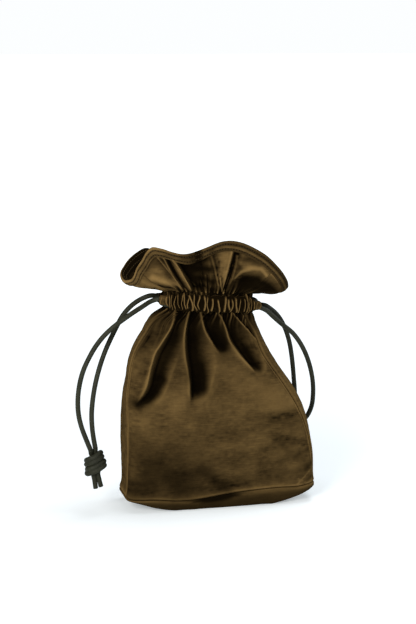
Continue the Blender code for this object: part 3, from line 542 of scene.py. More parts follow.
def body_folds(x, z, folds):
    """Millimetres that the folds push the cloth out, the painted shade of their hollows and the painted
    highlight on their crests, at x and z in millimetres."""
    out, lit, light = np.zeros_like(x), np.ones_like(x), np.zeros_like(x)
    tight = 0.5 + 0.5 * smooth_step((190 - z) / 22)
    shine = 0.35 + 0.65 * smooth_step((z - 128) / 45)
    for crest, limit, height, depth, low, end in folds:
        start = line_at(crest, z)
        d = x - start
        s = d / np.maximum(line_at(limit, z) - start, LEAST_FOLD)
        crest_life = smooth_step((z - low + 4) / (end + 8))
        out -= depth * HOLLOW_SHARE * fold_hollow(s, 0.4) * smooth_step((z - low) / end) * tight
        out += height * CREST_SHARE * fold_crest(d) * crest_life
        lit *= 1 - fold_dark(s, depth) * smooth_step((z - low + 2) / end)
        light = np.maximum(light, fold_light(d) * crest_life * shine)
    return out, 1 - lit, light


def ruffle_folds(w, t, folds):
    """The same for the ruffle, at w from -1 to 1 across and t up the ruffle."""
    out, lit, light = np.zeros_like(w), np.ones_like(w), np.zeros_like(w)
    half = NECK_HALVES[0] + RUFFLE_FLARE * t
    start, above = smooth_step(t / 0.12), t - 0.80
    life = start * (1 - smooth_step(above / 0.18))
    shade_life = start * (1 - smooth_step(above / 0.10))
    for neck, top, far_neck, far_top, height, depth, wall in folds:
        crest = neck + t * (top - neck)
        far = far_neck + t * (far_top - far_neck)
        d = (w - crest) * half
        s = d / np.maximum((far - crest) * half, LEAST_FOLD)
        out += (height * RUFFLE_CREST_SHARE * fold_crest(d) - depth * fold_hollow(s, wall)) * life
        lit *= 1 - fold_dark(s, depth) * shade_life
        light = np.maximum(light, fold_light(d) * shade_life)
    return out, 1 - lit, light


def stroke(u, v, line, width, scale):
    """From 1 on a line of points to 0 away from it. Scaled, places are in millimetres, as the width is."""
    u, v = u * scale[0], v * scale[1]
    points = np.reshape(line, (-1, 2)) * scale
    near = np.full(np.shape(u), 1e9)
    for (u0, v0), (du, dv) in zip(points, np.diff(points, axis=0)):
        along = np.clip(((u - u0) * du + (v - v0) * dv) / (du * du + dv * dv), 0, 1)
        near = np.minimum(near, np.hypot(u - u0 - along * du, v - v0 - along * dv))
    return hump(near, width)


def shades(u, v, strokes, scale=(1, 1)):
    """Painted shade of a panel from its dark strokes, less what its painted highlights (light strokes, below
    0) take off.
    """
    lit, glow = np.ones(np.shape(u)), np.zeros(np.shape(u))
    for width, dark, *line in strokes:
        mark = abs(dark) * stroke(u, v, line, width, scale)
        if dark > 0:
            lit = lit * (1 - mark)
        else:
            glow = np.maximum(glow, mark)
    return (1 - lit) * (1 - glow) - glow * LIGHT_LIFT


def pleat_table():
    """Places round the neck of the small gathers, with each one's height, length and lean."""
    rng = np.random.default_rng(11)
    rows = []
    place = -1.0
    while place < 6.97:
        half = NECK_HALVES[math.floor((place + 1) / 2) % 2]
        step = PLEAT_PITCH / MM / half * rng.uniform(0.62, 1.38)
        rows.append((place, rng.uniform(0.45, 1.25), rng.uniform(0.6, 1.5), rng.uniform(-1, 1), half))
        place += step
    return rows


PLEATS = pleat_table()


def gathers(place, distance, reach):
    """Gathers that leave the stitching: each dies out at its own distance in millimetres."""
    out = np.zeros_like(place)
    for at, height, length, lean, half in PLEATS:
        d = (place - at - distance * 0.06 * lean / half + 4) % 8 - 4
        life = hump(distance, reach * length, 1.4)
        out = np.maximum(out, height * life * hump(d * half, 1.2 + 0.05 * distance))
    return out - 0.4 * hump(distance, reach, 1.4)


def body_form(side, w, x, own_x, z):
    """How far the body's cloth stands out before it is gathered, and its folds' painted shade and highlights.
    """
    folds, dents, _ = side.body
    out, dark, light = body_folds(own_x, z, folds)
    for x0, z0, half_x, half_z, turn, depth in dents:
        c, s = math.cos(math.radians(turn)), math.sin(math.radians(turn))
        u, v = (own_x - x0) * c + (z - z0) * s, (z - z0) * c - (own_x - x0) * s
        out -= depth * hump(u, half_x) * hump(v, half_z)
    if side.name == "front_panel":
        creased = value_noise(np.stack((x + 0.5 * z, z * 0.6, 0 * x), axis=-1), 3.2, 29)
        out += 0.5 * creased * hump(x - 40, 18) * hump(z - 168, 20)
    elif "gusset" in side.name:
        crease = 3.2 * hump(w - 0.12 * np.sin(z / 31), 0.34) - 0.9
        out -= crease * smooth_step((z - 45) / 90) + 1.2 * hump(z - 30, 16) * hump(w, 0.6)
    return out, dark, light


def ruffle_form(side, w, t):
    """The same for the ruffle."""
    folds, spots, _ = side.ruffle
    out, dark, light = ruffle_folds(w, t, folds)
    for height, w0, t0, half_w, half_t in spots:
        out += height * hump(w - w0, half_w) * hump(t - t0, half_t)
    if side.name == "front_panel":
        crinkle = value_noise(np.stack((w * 60, t * 40, w * 0), axis=-1), 2.6, 17)
        out += 0.55 * crinkle * hump(w - 0.32, 0.16) * hump(t - 0.45, 0.45)
        for width, height, *line in RUFFLE_RIDGES:
            out += height * stroke(w, t, line, width, RUFFLE_SCALE)
    return out, dark, light


def back_x(x, z):
    """The back's own left to right, which follows the shoulders' lean."""
    return -x - 14 * smooth_step((z - 60) / 90)


def join_shades(*parts):
    joined = 1.0
    for part in parts:
        joined = joined * (1 - part)
    return 1 - joined


def lit_shade(dark, light, small, strength, fade):
    """Painted shade less the painted highlights on the folds' crests and on the tops of the small gathers."""
    light = np.maximum(light, strength * np.clip(small + 0.25, 0, 1) ** 2 * fade)
    return dark * (1 - light) - LIGHT_LIFT * light


def add_seams(out, shade, points, shares, level, free):
    """The side seams, where the cloth turns in, and the ridge and groove of the bottom seam."""
    width = np.linalg.norm(np.diff(points, axis=1), axis=-1).sum(axis=1, keepdims=True) / MM
    from_seam = np.minimum(shares, 1 - shares) * width
    seam_form = 0.55 * hump(from_seam - 2.0, 1.3) - 1.3 * hump(from_seam, 0.9)
    out = out * smooth_step(from_seam / 7) + seam_form * np.where(level <= 1, free, 0.15)
    above_base = np.clip(level, 0, 1) * (NECK_HEIGHT + CASING_UP - BASE_SEAM_HEIGHT) / MM
    base_line = 0.5 * hump(above_base - 2.2, 1.4) - 1.2 * hump(above_base, 0.9)
    out = np.where(level <= 1, out * smooth_step(above_base / 8) + base_line, out)
    # The side seams' grooves are painted dark, as painted shade
    return out, join_shades(shade, np.where(level <= 1, 0.65, 0.06) * hump(from_seam, 0.8))


def panel_surface(side, shares, level):
    """Points of a panel's outer face with all that stands out from it, and the painted shade of each point.
    """
    points, place, t = panel_base(side, shares, level)
    shares, level = np.broadcast_arrays(shares, level)
    w = 2 * shares - 1
    x, _, z = np.moveaxis(points, -1, 0) / MM
    own_x = back_x(x, z) if side.name == "back_panel" else x
    casing_low = (NECK_HEIGHT - CASING_DOWN) / MM + NECK_TILT * x
    below, up = np.maximum(casing_low - z, 0), t * RUFFLE_SCALE[1]
    free = 1 - smooth_step((z - casing_low) / 1.5)
    low_gathers, high_gathers = gathers(place, below, 15), gathers(place, up, 17)
    low_out, low_dark, low_light = body_form(side, w, x, own_x, z)
    high_out, high_dark, high_light = ruffle_form(side, w, t)
    out = np.where(level > 1, high_out + high_gathers * 2.4, (low_out + low_gathers * 1.7) * free)

    # Painted shade: in the hollows, along the strokes, in the gaps between the gathers at the casing and
    # under the casing
    near_low = 0.95 * hump(below, 15, 1.8) * (1 - np.clip(low_gathers, 0, 1) ** 2)
    near_high = 0.88 * hump(up, 11, 1.6) * (1 - np.clip(high_gathers, 0, 1) ** 2)
    under_casing = 0.62 * hump(below, 32) * (hump(own_x + 18, 40, 4) if "panel" in side.name else 0.3)
    low_dark = join_shades(low_dark, near_low, under_casing, shades(own_x, z, side.body[2]))
    high_dark = join_shades(high_dark, near_high, shades(w, t, side.ruffle[2], RUFFLE_SCALE))
    low_shade = lit_shade(low_dark, low_light, low_gathers, 0.55, np.exp(-below / 8))
    high_shade = lit_shade(high_dark, high_light, high_gathers, 0.75, np.exp(-up / 10))
    shade = np.where(level > 1, high_shade, low_shade)

    # The whole cloth is a little uneven
    uneven = value_noise(points, 0.034, 3) * 0.9 + value_noise(points, 0.013, 5) * 0.35
    uneven += value_noise(points * (1, 1, 1.6), 0.0045, 8) * 0.16
    out += uneven * np.where(level > 1, smooth_step(t / 0.2), free)
    out, shade = add_seams(out, shade, points, shares, level, free)
    return points + grid_normals(points) * out[..., None] * MM, shade


# Meshes


RELIEF_SIZES = ((1, 0.9), (3, 0.8), (8, 0.7))  # steps over the grid, and the weight of bends of that size
INSIDE_SHADE = (0.80, 0.15)  # painted shade of the cloth's inner face, and how much more behind a dark place


def relief(points):
    """How hollow (towards 1) or raised (towards 0) each point of a grid is, from its bends at three sizes."""
    normals = grid_normals(points)
    across = np.linalg.norm(np.gradient(points, axis=1), axis=-1)
    total = 0.0
    for radius, gain in RELIEF_SIZES:
        padded = np.pad(points, ((radius, radius), (radius, radius), (0, 0)), mode="edge")
        before, here, after = slice(-2 * radius), slice(radius, -radius), slice(2 * radius, None)
        around = padded[before, here] + padded[after, here] + padded[here, before] + padded[here, after]
        rise = np.einsum("ijk,ijk->ij", around / 4 - points, normals)
        total = total + gain * rise / (across * radius + 1e-9)
    return np.clip(0.5 + total * 0.55, 0, 1)


def link_object(name, data):
    obj = bpy.data.objects.new(name, data)
    bpy.context.scene.collection.objects.link(obj)
    return obj


def make_piece(name, verts, faces, material, attributes=None):
    mesh = bpy.data.meshes.new(name)
    mesh.from_pydata(np.asarray(verts).tolist(), [], faces)
    mesh.validate()
    mesh.update()
    for key, values in (attributes or {}).items():
        attribute = mesh.attributes.new(key, "FLOAT", "POINT")
        attribute.data.foreach_set("value", np.ravel(values).astype(np.float32))
    mesh.shade_smooth()
    mesh.materials.append(material)
    return link_object(name, mesh)


def quads(rows, columns, closed_rows=False, closed_columns=False):
    """Faces of a grid of points, stored row by row."""
    r = np.arange(rows if closed_rows else rows - 1)
    c = np.arange(columns if closed_columns else columns - 1)
    r, c = np.meshgrid(r, c, indexing="ij")
    r2, c2 = (r + 1) % rows, (c + 1) % columns
    faces = np.stack((r * columns + c, r * columns + c2, r2 * columns + c2, r2 * columns + c), axis=-1)
    return faces.reshape(-1, 4)


def make_shell(name, outer, thickness, material, shade):
    """A closed shell from the grid of its outer face, with the painted shade of each point."""
    rows, columns = outer.shape[:2]
    inner = outer - grid_normals(outer) * thickness
    hollow = relief(outer).ravel()
    count = rows * columns
    index = np.arange(count).reshape(rows, columns)
    rim = np.concatenate((index[0], index[1:, -1], index[-1, -2::-1], index[-2:0:-1, 0]))
    after = np.roll(rim, -1)
    edge = np.stack((after, rim, rim + count, after + count), axis=-1)
    face = quads(rows, columns)
    faces = np.concatenate((face, (face + count)[:, ::-1], edge)).tolist()
    verts = np.concatenate((outer.reshape(-1, 3), inner.reshape(-1, 3)))
    # Painted shade in the hollows and painted highlights on the raised parts, from the relief; the inner face
    # is painted in shade
    values = {
        "hollow": np.concatenate((hollow, 1 - hollow)),
        "shade": np.append(shade, INSIDE_SHADE[0] + INSIDE_SHADE[1] * np.clip(shade, 0, 1)),
    }
    return make_piece(name, verts, faces, material, values)


def make_panel(side, material):
    """A panel's cloth, in rows that are closer together near the base seam and the neck."""
    shares = np.linspace(0, 1, side.columns + 1)
    t = np.linspace(0, 1, BODY_ROWS)
    rows = [np.full_like(shares, level) for level in 0.5 * t + 0.5 * (1 - (1 - t) ** 1.5)]
    top = 1 - EDGE_IN / ruffle_length(side, shares)
    rows += [1 + t * top for t in np.linspace(0, 1, RUFFLE_ROWS + 1)[1:]]
    points, shade = panel_surface(side, shares[None, :], np.array(rows))
    return make_shell(side.name + "_cloth", points, CLOTH, material, shade)


# Cords

CORD_RIBS = 14
RIB_DEPTH = 0.10 * MM
RIB_TWIST = 90 * MM  # length of cord along which its ribs turn by one radian
CORD_RADIUS = CORD_DIAMETER / 2 + RIB_DEPTH
RUN_STEP = 2.5 * MM  # distance between a cord's rings: in the casings, where it hangs and in the knot
STRAND_STEP = 2.0 * MM
KNOT_STEP = 1.3 * MM
CORD_CAP = ((0.86, 0.12), (0.45, 0.20))  # a rounded end's rings: share of the radius, and how far out


def tube_frames(path):
    """The way of a path at each point and two directions across, carried along it without twist."""
    ways = unit(np.gradient(path, axis=0))
    side = np.cross(ways[0], (0.3, 0.9, 0.2))
    sides = []
    for way in ways:
        side = unit(side - way * (side @ way))
        sides.append(side)
    return ways, np.array(sides), np.cross(ways, sides)


def cord_tube(path, swell=1.0):
    """A ribbed round cord as a closed tube with softly rounded ends: points, faces and rib heights."""
    around = 4 * CORD_RIBS
    ways, sides, ups = tube_frames(path)
    angle = np.linspace(0, 2 * np.pi, around, endpoint=False)
    rib = np.cos(CORD_RIBS * angle)
    size = CORD_RADIUS * np.broadcast_to(swell, len(path))[:, None] - RIB_DEPTH * (1 - rib)
    flow = angle + arc_lengths(path)[:, None] / RIB_TWIST
    rings = sides[:, None] * np.cos(flow)[..., None] + ups[:, None] * np.sin(flow)[..., None]
    grid = list(path[:, None] + rings * size[..., None])
    tips = []
    for end, outward in ((0, -1), (-1, 1)):
        ahead = outward * CORD_RADIUS * ways[end]
        last = grid[end]
        for shrink, out in CORD_CAP:
            cap = path[end] + (last - path[end]) * shrink + ahead * out
            grid.insert(0 if outward < 0 else len(grid), cap)
        tips.append(path[end] + ahead * CORD_CAP[-1][1])
    c = np.arange(around)
    after = (c + 1) % around
    final = (len(grid) - 1) * around
    tip = np.full(around, len(grid) * around)
    low = np.stack((tip, after, c), axis=-1).tolist()
    high = np.stack((tip + 1, c + final, after + final), axis=-1).tolist()
    faces = quads(len(grid), around, closed_columns=True).tolist() + low + high
    # Highest in the grooves between the ribs, which the cord's material paints darker as painted shade
    hollow = np.append(np.tile(0.5 - 0.5 * rib, len(grid)), (0.5, 0.5))
    return np.concatenate((*grid, tips)), faces, hollow


def make_tubes(name, tubes, material):
    """One piece of one or more tubes, each given by its points, faces and rib heights."""
    faces, count = [], 0
    for verts, own_faces, _ in tubes:
        faces += [[i + count for i in face] for face in own_faces]
        count += len(verts)
    verts, _, hollows = zip(*tubes)
    return make_piece(name, np.concatenate(verts), faces, material, {"hollow": np.concatenate(hollows)})


# Neck: casings and the cords in them

CASING_COLUMNS = 420
CASING_PROFILE_ROWS = 40
TAB_HALF_HEIGHT = 4.8 * MM
CASING_CLOTH = 0.7 * MM
LEFT_RIGHT_TABS = (1.2 * MM, -1.2 * MM)  # how far above the casings' middle the tabs on either side are
BACK_MIDDLE = 4  # place of the back's middle round the neck; the front's is 0


def neck_point(place, out, up):
    """Points off the neck: out from the cloth, and up or down from the casings' middle."""
    place, out, up = np.broadcast_arrays(*(np.asarray(v, float) for v in (place, out, up)))
    centre, x, y, out_x, out_y = section_ring(place, 1 + up / NECK_HEIGHT)
    x = x + out * out_x + centre
    return np.stack((x, y + out * out_y, NECK_HEIGHT + NECK_TILT * x + up), axis=-1)


def casing_point(middle, s, out, up):
    """A point along a casing: s runs over the neck's curve and on, straight, over the tabs at both ends."""
    curve = NECK_WIDTH / 2
    inside = np.clip(s, -curve, curve)
    place = middle + inside / curve * CASING_END
    here = neck_point(place, out, up)
    ahead = neck_point(place + np.sign(s) * 0.01, out, up)
    return here + unit(ahead - here) * (np.abs(s) - np.abs(inside))[..., None]


def casing_run(turn, lane):
    """A drawcord's way through both casings, from the front's tab round the neck to the back's."""
    out = CORD_ROOM + CLEARANCE + CORD_DIAMETER / 2
    tab = NECK_WIDTH / 2 + CASING_TAB * np.array((1, 0.5))
    around = neck_point(turn * np.linspace(-CASING_END, BACK_MIDDLE + CASING_END, 49), out, lane)
    tab_in = casing_point(0, -turn * tab, out, lane)
    return np.vstack((tab_in, around, casing_point(BACK_MIDDLE, turn * tab[::-1], out, lane)))


def casing_pleats(s, v, length, seed):
    """Heights of a casing's pleats from 0 to about 1.3, leaning to and fro so that some meet at the edges."""
    rng = np.random.default_rng(seed)
    height = np.zeros_like(s)
    edges = np.zeros((2, s.shape[1]))
    at = -length / 2 + 1.5 * MM
    side = 1
    while at < length / 2:
        side = -side if rng.uniform() < 0.8 else side
        lean = side * rng.uniform(0.2, 1.5) * MM
        bow = rng.uniform(-0.9, 0.9) * MM
        tall = rng.uniform(0.6, 1.3)
        wide = rng.uniform(0.5, 0.95) * MM
        low_end, high_end = rng.uniform(-1.25, -0.70), rng.uniform(0.70, 1.25)
        life = smooth_step((v - low_end) / 0.35) * smooth_step((high_end - v) / 0.35)
        height = np.maximum(height, tall * hump(s - at - lean * v - bow * np.cos(np.pi * v), wide) * life)
        for row, least in zip(edges, (-0.6, -1.8)):
            row += rng.uniform(least, 2.9) * hump(s[0] - at, 1.2 * MM)
        at += rng.uniform(0.55, 1.35) * PLEAT_PITCH
    return height, edges * MM


def make_casing(name, middle, tab_middles, seed, material):
    """The casing: sewn down along both edges, round over the two cords, and drawn into dense uneven pleats.
    Its two ends run off the neck as narrow tabs round the cord that leaves there."""
    length = NECK_WIDTH + 2 * CASING_TAB
    s = np.linspace(-length / 2, length / 2, CASING_COLUMNS + 1)
    s, v = np.meshgrid(s, np.linspace(-1, 1, CASING_PROFILE_ROWS + 1))
    on_neck = smooth_step((NECK_WIDTH / 2 + 7.5 * MM - np.abs(s)) / (7 * MM))
    height, edges = casing_pleats(s, v, length, seed)
    near = CLEARANCE + 0.8 * MM
    off = CORD_ROOM + CORD_DIAMETER + 2 * CLEARANCE + 0.7 * MM
    rounding = np.clip(1 - np.abs(v) ** 3.2, 0, 1) ** 0.55
    tab_middle = np.where(s < 0, *tab_middles)
    low = (CASING_DOWN - 0.5 * MM + edges[0]) * on_neck + (TAB_HALF_HEIGHT - tab_middle) * (1 - on_neck)
    high = (CASING_UP - RUFFLE_ROOM + edges[1]) * on_neck + (TAB_HALF_HEIGHT + tab_middle) * (1 - on_neck)
    pleat = (height - 0.30) * 1.52 * MM * (0.3 + 0.7 * on_neck) * (0.55 + 0.45 * rounding)
    puff = value_noise(np.stack((s, v * 0.01, np.full_like(s, middle)), axis=-1), 0.012, seed) * 0.5 * MM
    out = np.maximum(near + (off - near + puff) * rounding + pleat, near * 0.9)
    points = casing_point(middle, s, out, v * np.where(v < 0, low, high))
    # Painted shade in the gaps between the pleats
    shade = (1 - smooth_step((height + 0.02) / 0.80)) * (0.35 + 0.62 * on_neck)
    return make_shell(name, points, CASING_CLOTH, material, shade)


def make_tab_back(name, middle, turn, tab_middle, material):
    """The back of a casing's tab, which closes it round the cord."""
    ends = (NECK_WIDTH / 2 + 0.6 * MM, NECK_WIDTH / 2 + CASING_TAB)
    s, v = np.meshgrid(turn * np.linspace(*ends[::turn], 14), np.linspace(-1, 1, 9))
    up = v * (TAB_HALF_HEIGHT - 0.4 * MM) + tab_middle
    points = casing_point(middle, s, CASING_CLOTH + 0.1 * MM, up)
    # The tab's back is painted in shade
    return make_shell(name, points, CASING_CLOTH, material, np.full(s.shape, 0.6))


# Knots

# The middle line of the doubled cord through an overhand knot, front towards -y: place in millimetres from
# the knot's middle, and the way from one strand to the other
KNOT_LINE = (
    ((0.0, 0.0, 15.0), (1, 0.0, 0)),
    ((-2.0, 1.5, 10.0), (1, 0.1, 0.2)),
    ((-1.0, 4.0, 5.0), (0.6, 0, 0.8)),
    ((-4.5, 5.4, 0.6), (0.1, 0, 1.0)),
    ((-8.6, 1.2, 0.4), (0, 0.0, 1.0)),
    ((-6.6, -4.2, 2.6), (-0.3, 0, 1.0)),
    ((-1.0, -5.9, 5.0), (-0.45, 0, 1.0)),
    ((4.0, -4.2, 8.0), (-0.45, 0, 1.0)),
    ((5.8, 1.2, 7.4), (-0.2, 0, 1.0)),
    ((2.0, 5.6, 4.0), (0.1, 0, 1.0)),
    ((-4.6, 4.6, -4.6), (0.1, 0, 1.0)),
    ((-8.2, 0.0, -8.6), (0.1, 0, 1.0)),
    ((-5.6, -4.6, -6.8), (-0.3, 0, 1.0)),
    ((0.6, -5.8, -4.0), (-0.4, 0, 1.0)),
    ((7.2, -3.4, -0.4), (-0.4, 0, 1.0)),
    ((8.0, 1.6, -1.6), (0.2, 0, 1.0)),
    ((3.2, 3.4, -5.4), (0.8, 0, 0.6)),
    ((0.2, 0.4, -9.5), (1, 0, 0.1)),
    ((0.3, 0.0, -13.0), (1, 0, 0)),
)
KNOT_SWELL = 0.12  # how much fuller the cord is where it is pressed side by side in the knot
STRAND_OFFSET = 0.44 * CORD_DIAMETER  # from the knot's middle line to each strand's


def make_knot(name, strand_ends, tail_ends, turn, material):
    """The overhand knot of a cord's two strands, from the cord's ends to the tails' ends."""
    top = np.mean(strand_ends, axis=0)
    centre = top - np.array((0, 0, KNOT_SIZE[2] / 2))
    centre[0] += 0.5 * (np.mean(tail_ends, axis=0)[0] - top[0])
    c, s = math.cos(turn), math.sin(turn)
    spin = np.array(((c, -s, 0), (s, c, 0), (0, 0, 1)))
    line, ways = np.array(KNOT_LINE, float).swapaxes(0, 1)
    tubes = []
    for side, start, end in zip((-1, 1), (strand_ends - centre) @ spin, (tail_ends - centre) @ spin):
        middle = line * MM + side * unit(ways) * STRAND_OFFSET
        points = np.vstack((start, middle[1:-1], end + (middle[-1] - end) * 0.55, end))
        path = resample(points, KNOT_STEP)
        inside = smooth_step((12.5 * MM - np.abs(path[:, 2])) / (4 * MM))
        tubes.append(cord_tube(path @ spin.T + centre, 1 + KNOT_SWELL * inside))
    return make_tubes(name, tubes, material)


# Band and stitches

# The band's outline, from its lower edge in front over the mouth's edge to the inside and back: millimetres
# below the mouth's edge and out from the cloth
BAND_PROFILE = (
    (9.0, 0.25), (9.1, 0.8), (8.6, 1.35), (7.4, 1.5), (6.6, 1.28), (5.6, 1.6), (4.4, 1.75), (3.2, 1.6),
    (2.2, 1.25), (1.4, 1.5), (0.5, 1.3), (-0.1, 0.6), (-0.3, -0.45), (-0.1, -1.5), (0.5, -2.2), (1.4, -2.4),
    (2.2, -2.15), (3.2, -2.5), (4.4, -2.65), (5.6, -2.5), (6.6, -2.18), (7.4, -2.4), (8.6, -2.25),
    (9.1, -1.7), (9.0, -1.15), (4.0, -1.1), (1.2, -1.1), (1.2, 0.2), (4.0, 0.2),
)
EDGE_HOLLOW = 0.2  # the rounded edge of the mouth catches light
STITCH_ROWS = (2.2, 6.6)  # below the mouth's edge, where the band is drawn in
STITCH_FACES = (1.30 * MM, -2.2 * MM)  # how far out the stitches lie on the band's two faces
STITCH_PITCH = 2.7 * MM
STITCH_HALF = 0.95 * MM
STITCH_RADIUS = 0.28 * MM
STITCH_RINGS = ((-1, 0.35), (-0.6, 0.9), (0.6, 0.9), (1, 0.35))  # shares along a stitch and of its radius
STITCH_SIDES = 6


def mouth_frame(below):
    """Points of the ruffle's outer face at a distance below the mouth's edge, all the way round, with the
    outward direction at each."""
    rings = []
    for extra in (0.0, 0.8 * MM):
        row = []
        for side in SIDES:
            shares = np.linspace(0, 1, 2 * side.columns + 1)[:-1]
            row.append(panel_base(side, shares, 2 - (below + extra) / ruffle_length(side, shares))[0])
        rings.append(np.concatenate(row))
    here, lower = rings
    ahead = np.roll(here, -1, axis=0) - np.roll(here, 1, axis=0)
    return here, unit(np.cross(ahead, here - lower))


def band_crinkle(points):
    """Small puckers of the stitched band, strongest at the middle of the front."""
    strength = 0.25 + 0.9 * hump(points[:, 0] / MM + 27, 14) * (points[:, 1] < 0)
    return (strength * value_noise(points * (1, 1, 0.4), 0.0052, 21) * 0.8 * MM)[:, None]


def make_band(material):
    """The mouth's band: a strip folded over the cloth's edge, with rounded edges, as one closed ring."""
    edge, lower = (mouth_frame(below)[0] for below in (0.0, 1.0 * MM))
    rise = unit(edge - lower)
    rows = []
    for below, out in BAND_PROFILE:
        here, outward = mouth_frame(max(below, 0) * MM)
        here = here + rise * max(-below, 0) * MM
        rows.append(here + outward * (out * MM + (band_crinkle(here) if -0.2 < below else 0)))
    grid = np.array(rows)
    faces = quads(*grid.shape[:2], closed_rows=True, closed_columns=True)[:, ::-1].tolist()
    hollow = np.full(grid.shape[:2], 0.45)
    shade = np.zeros(grid.shape[:2])
    x, y = grid[0, :, 0] / MM, grid[0, :, 1]
    right_front = smooth_step((x + 34) / 26) * (y < 0.02)
    # Painted shade in the puckers at the middle of the front
    pockets = 0.95 * smooth_step(0.75 - 1.3 * value_noise(grid[0] * (1, 1, 0.4), 0.0042, 21))
    puckered = hump(x + 24, 17) * (y < 0) * pockets
    for r, (below, out) in enumerate(BAND_PROFILE):
        # The stitch rows are drawn-in grooves, painted dark as shade
        if below in STITCH_ROWS:
            hollow[r], shade[r] = 0.75, 0.9
        # Painted shade and highlights: the inside is painted dark. On the right of the front the two edges
        # are painted dark and the middle is painted light
        if out < -1:
            shade[r] = 0.95
        elif below < 3.3:
            shade[r] = np.maximum(shade[r], 0.62 * right_front)
        elif 4 < below < 6:
            shade[r] -= 0.40 * right_front
        elif below > 7:
            shade[r] = np.maximum(shade[r], 0.55 * right_front)
        if out > -1:
            shade[r] = np.maximum(shade[r], puckered)
        if below < 1:
            hollow[r] = EDGE_HOLLOW
    return make_piece("mouth_band", grid.reshape(-1, 3), faces, material, {"hollow": hollow, "shade": shade})


def make_stitches(material):
    """Two rows of stitches on each face of the band, each stitch a short rounded bar of a few rings."""
    angles = math.tau * np.arange(STITCH_SIDES)[:, None] / STITCH_SIDES
    corners = np.arange(len(STITCH_RINGS) * STITCH_SIDES).reshape(-1, STITCH_SIDES).tolist()
    bar = quads(len(corners), STITCH_SIDES, closed_columns=True).tolist() + [corners[0][::-1], corners[-1]]
    rings, faces = [], []
    for below in STITCH_ROWS:
        here, outward = mouth_frame(below * MM)
        here = here + outward * band_crinkle(here)
        closed, closed_out = (np.vstack((row, row[:1])) for row in (here, outward))
        marks = arc_lengths(closed)
        for face in STITCH_FACES:
            for at in np.arange(0, marks[-1] - STITCH_PITCH, STITCH_PITCH):
                start, end = read_line(np.array((at, at + 2 * STITCH_HALF)), marks, closed)
                out = read_line(at + STITCH_HALF, marks, closed_out)
                way = unit(end - start)
                middle = (start + end) / 2 + out * face
                around = np.cross(way, out) * np.cos(angles) + out * np.sin(angles)
                faces += [[i + STITCH_SIDES * len(rings) for i in row] for row in bar]
                for along, swell in STITCH_RINGS:
                    rings.append(middle + way * along * STITCH_HALF + around * STITCH_RADIUS * swell)
    return make_piece("band_stitches", np.concatenate(rings), faces, material)


# Base


def base_surface(p, q):
    """The base as a square grid from -1 to 1 both ways, drawn out to the pouch's own section."""
    reach = np.maximum(np.abs(p), np.abs(q))
    safe = np.maximum(reach, 1e-6)
    place = np.where(
        np.abs(q) >= np.abs(p),
        np.where(q < 0, p / safe, 4 - p / safe),
        np.where(p > 0, 2 + q / safe, 6 - q / safe),
    )
    centre, x, y, out_x, out_y = section_ring(place, level_share(np.zeros_like(p)))
    seam = seam_height(x) - CLEARANCE
    steep = smooth_step((reach - 0.86) / 0.14)
    ridge = (BASE_SEAM_RIDGE - CLEARANCE) * smooth_step((reach - 0.94) / 0.03)
    out = BASE_BULGE * np.sin(np.pi * steep) + ridge - 0.9 * MM * hump(1 - reach, 0.006)
    scale = np.minimum(1, reach / 0.94)
    x = x * scale + out * out_x
    y = y * scale + out * out_y
    floor = CORNER_LIFT * smooth_step((np.abs(x) / BASE_WIDTH * 2 - 0.48) / 0.6)
    z = floor + (seam - floor) * steep
    wrinkle = value_noise(np.stack((x, y, z), axis=-1), 0.02, 31) * 0.7 * MM * smooth_step(reach / 0.5)
    z = z + np.where(reach < 0.9, np.abs(wrinkle), wrinkle * 0.5 * (1 - steep))
    return np.stack((x + centre, y, z), axis=-1)


def make_base(material):
    """The boxed base, in a grid that is closer at its edges, with the shadow under the front's seam."""
    spreads = []
    for count in (150, 64):
        t = np.linspace(-1, 1, count + 1)
        spreads.append(np.sign(t) * (1 - (1 - np.abs(t)) ** 1.6))
    p, q = np.meshgrid(*spreads)
    points = base_surface(p, -q)
    reach = np.maximum(np.abs(p), np.abs(q))
    # Painted shade: a painted shadow under the front's seam, the base's underside away from its edges painted
    # darker, and the whole base a little darker
    lens = hump(points[..., 0] / MM + 8, 30, 4)
    shadow_line = 0.98 * lens * smooth_step((reach - 0.985 + 0.045 * lens) / 0.012) * (points[..., 1] < 0)
    low_side = 0.72 * (1 - smooth_step((reach - 0.93) / 0.06))
    return make_shell("base_cloth", points, CLOTH, material, join_shades(shadow_line, low_side, 0.24))


# Materials


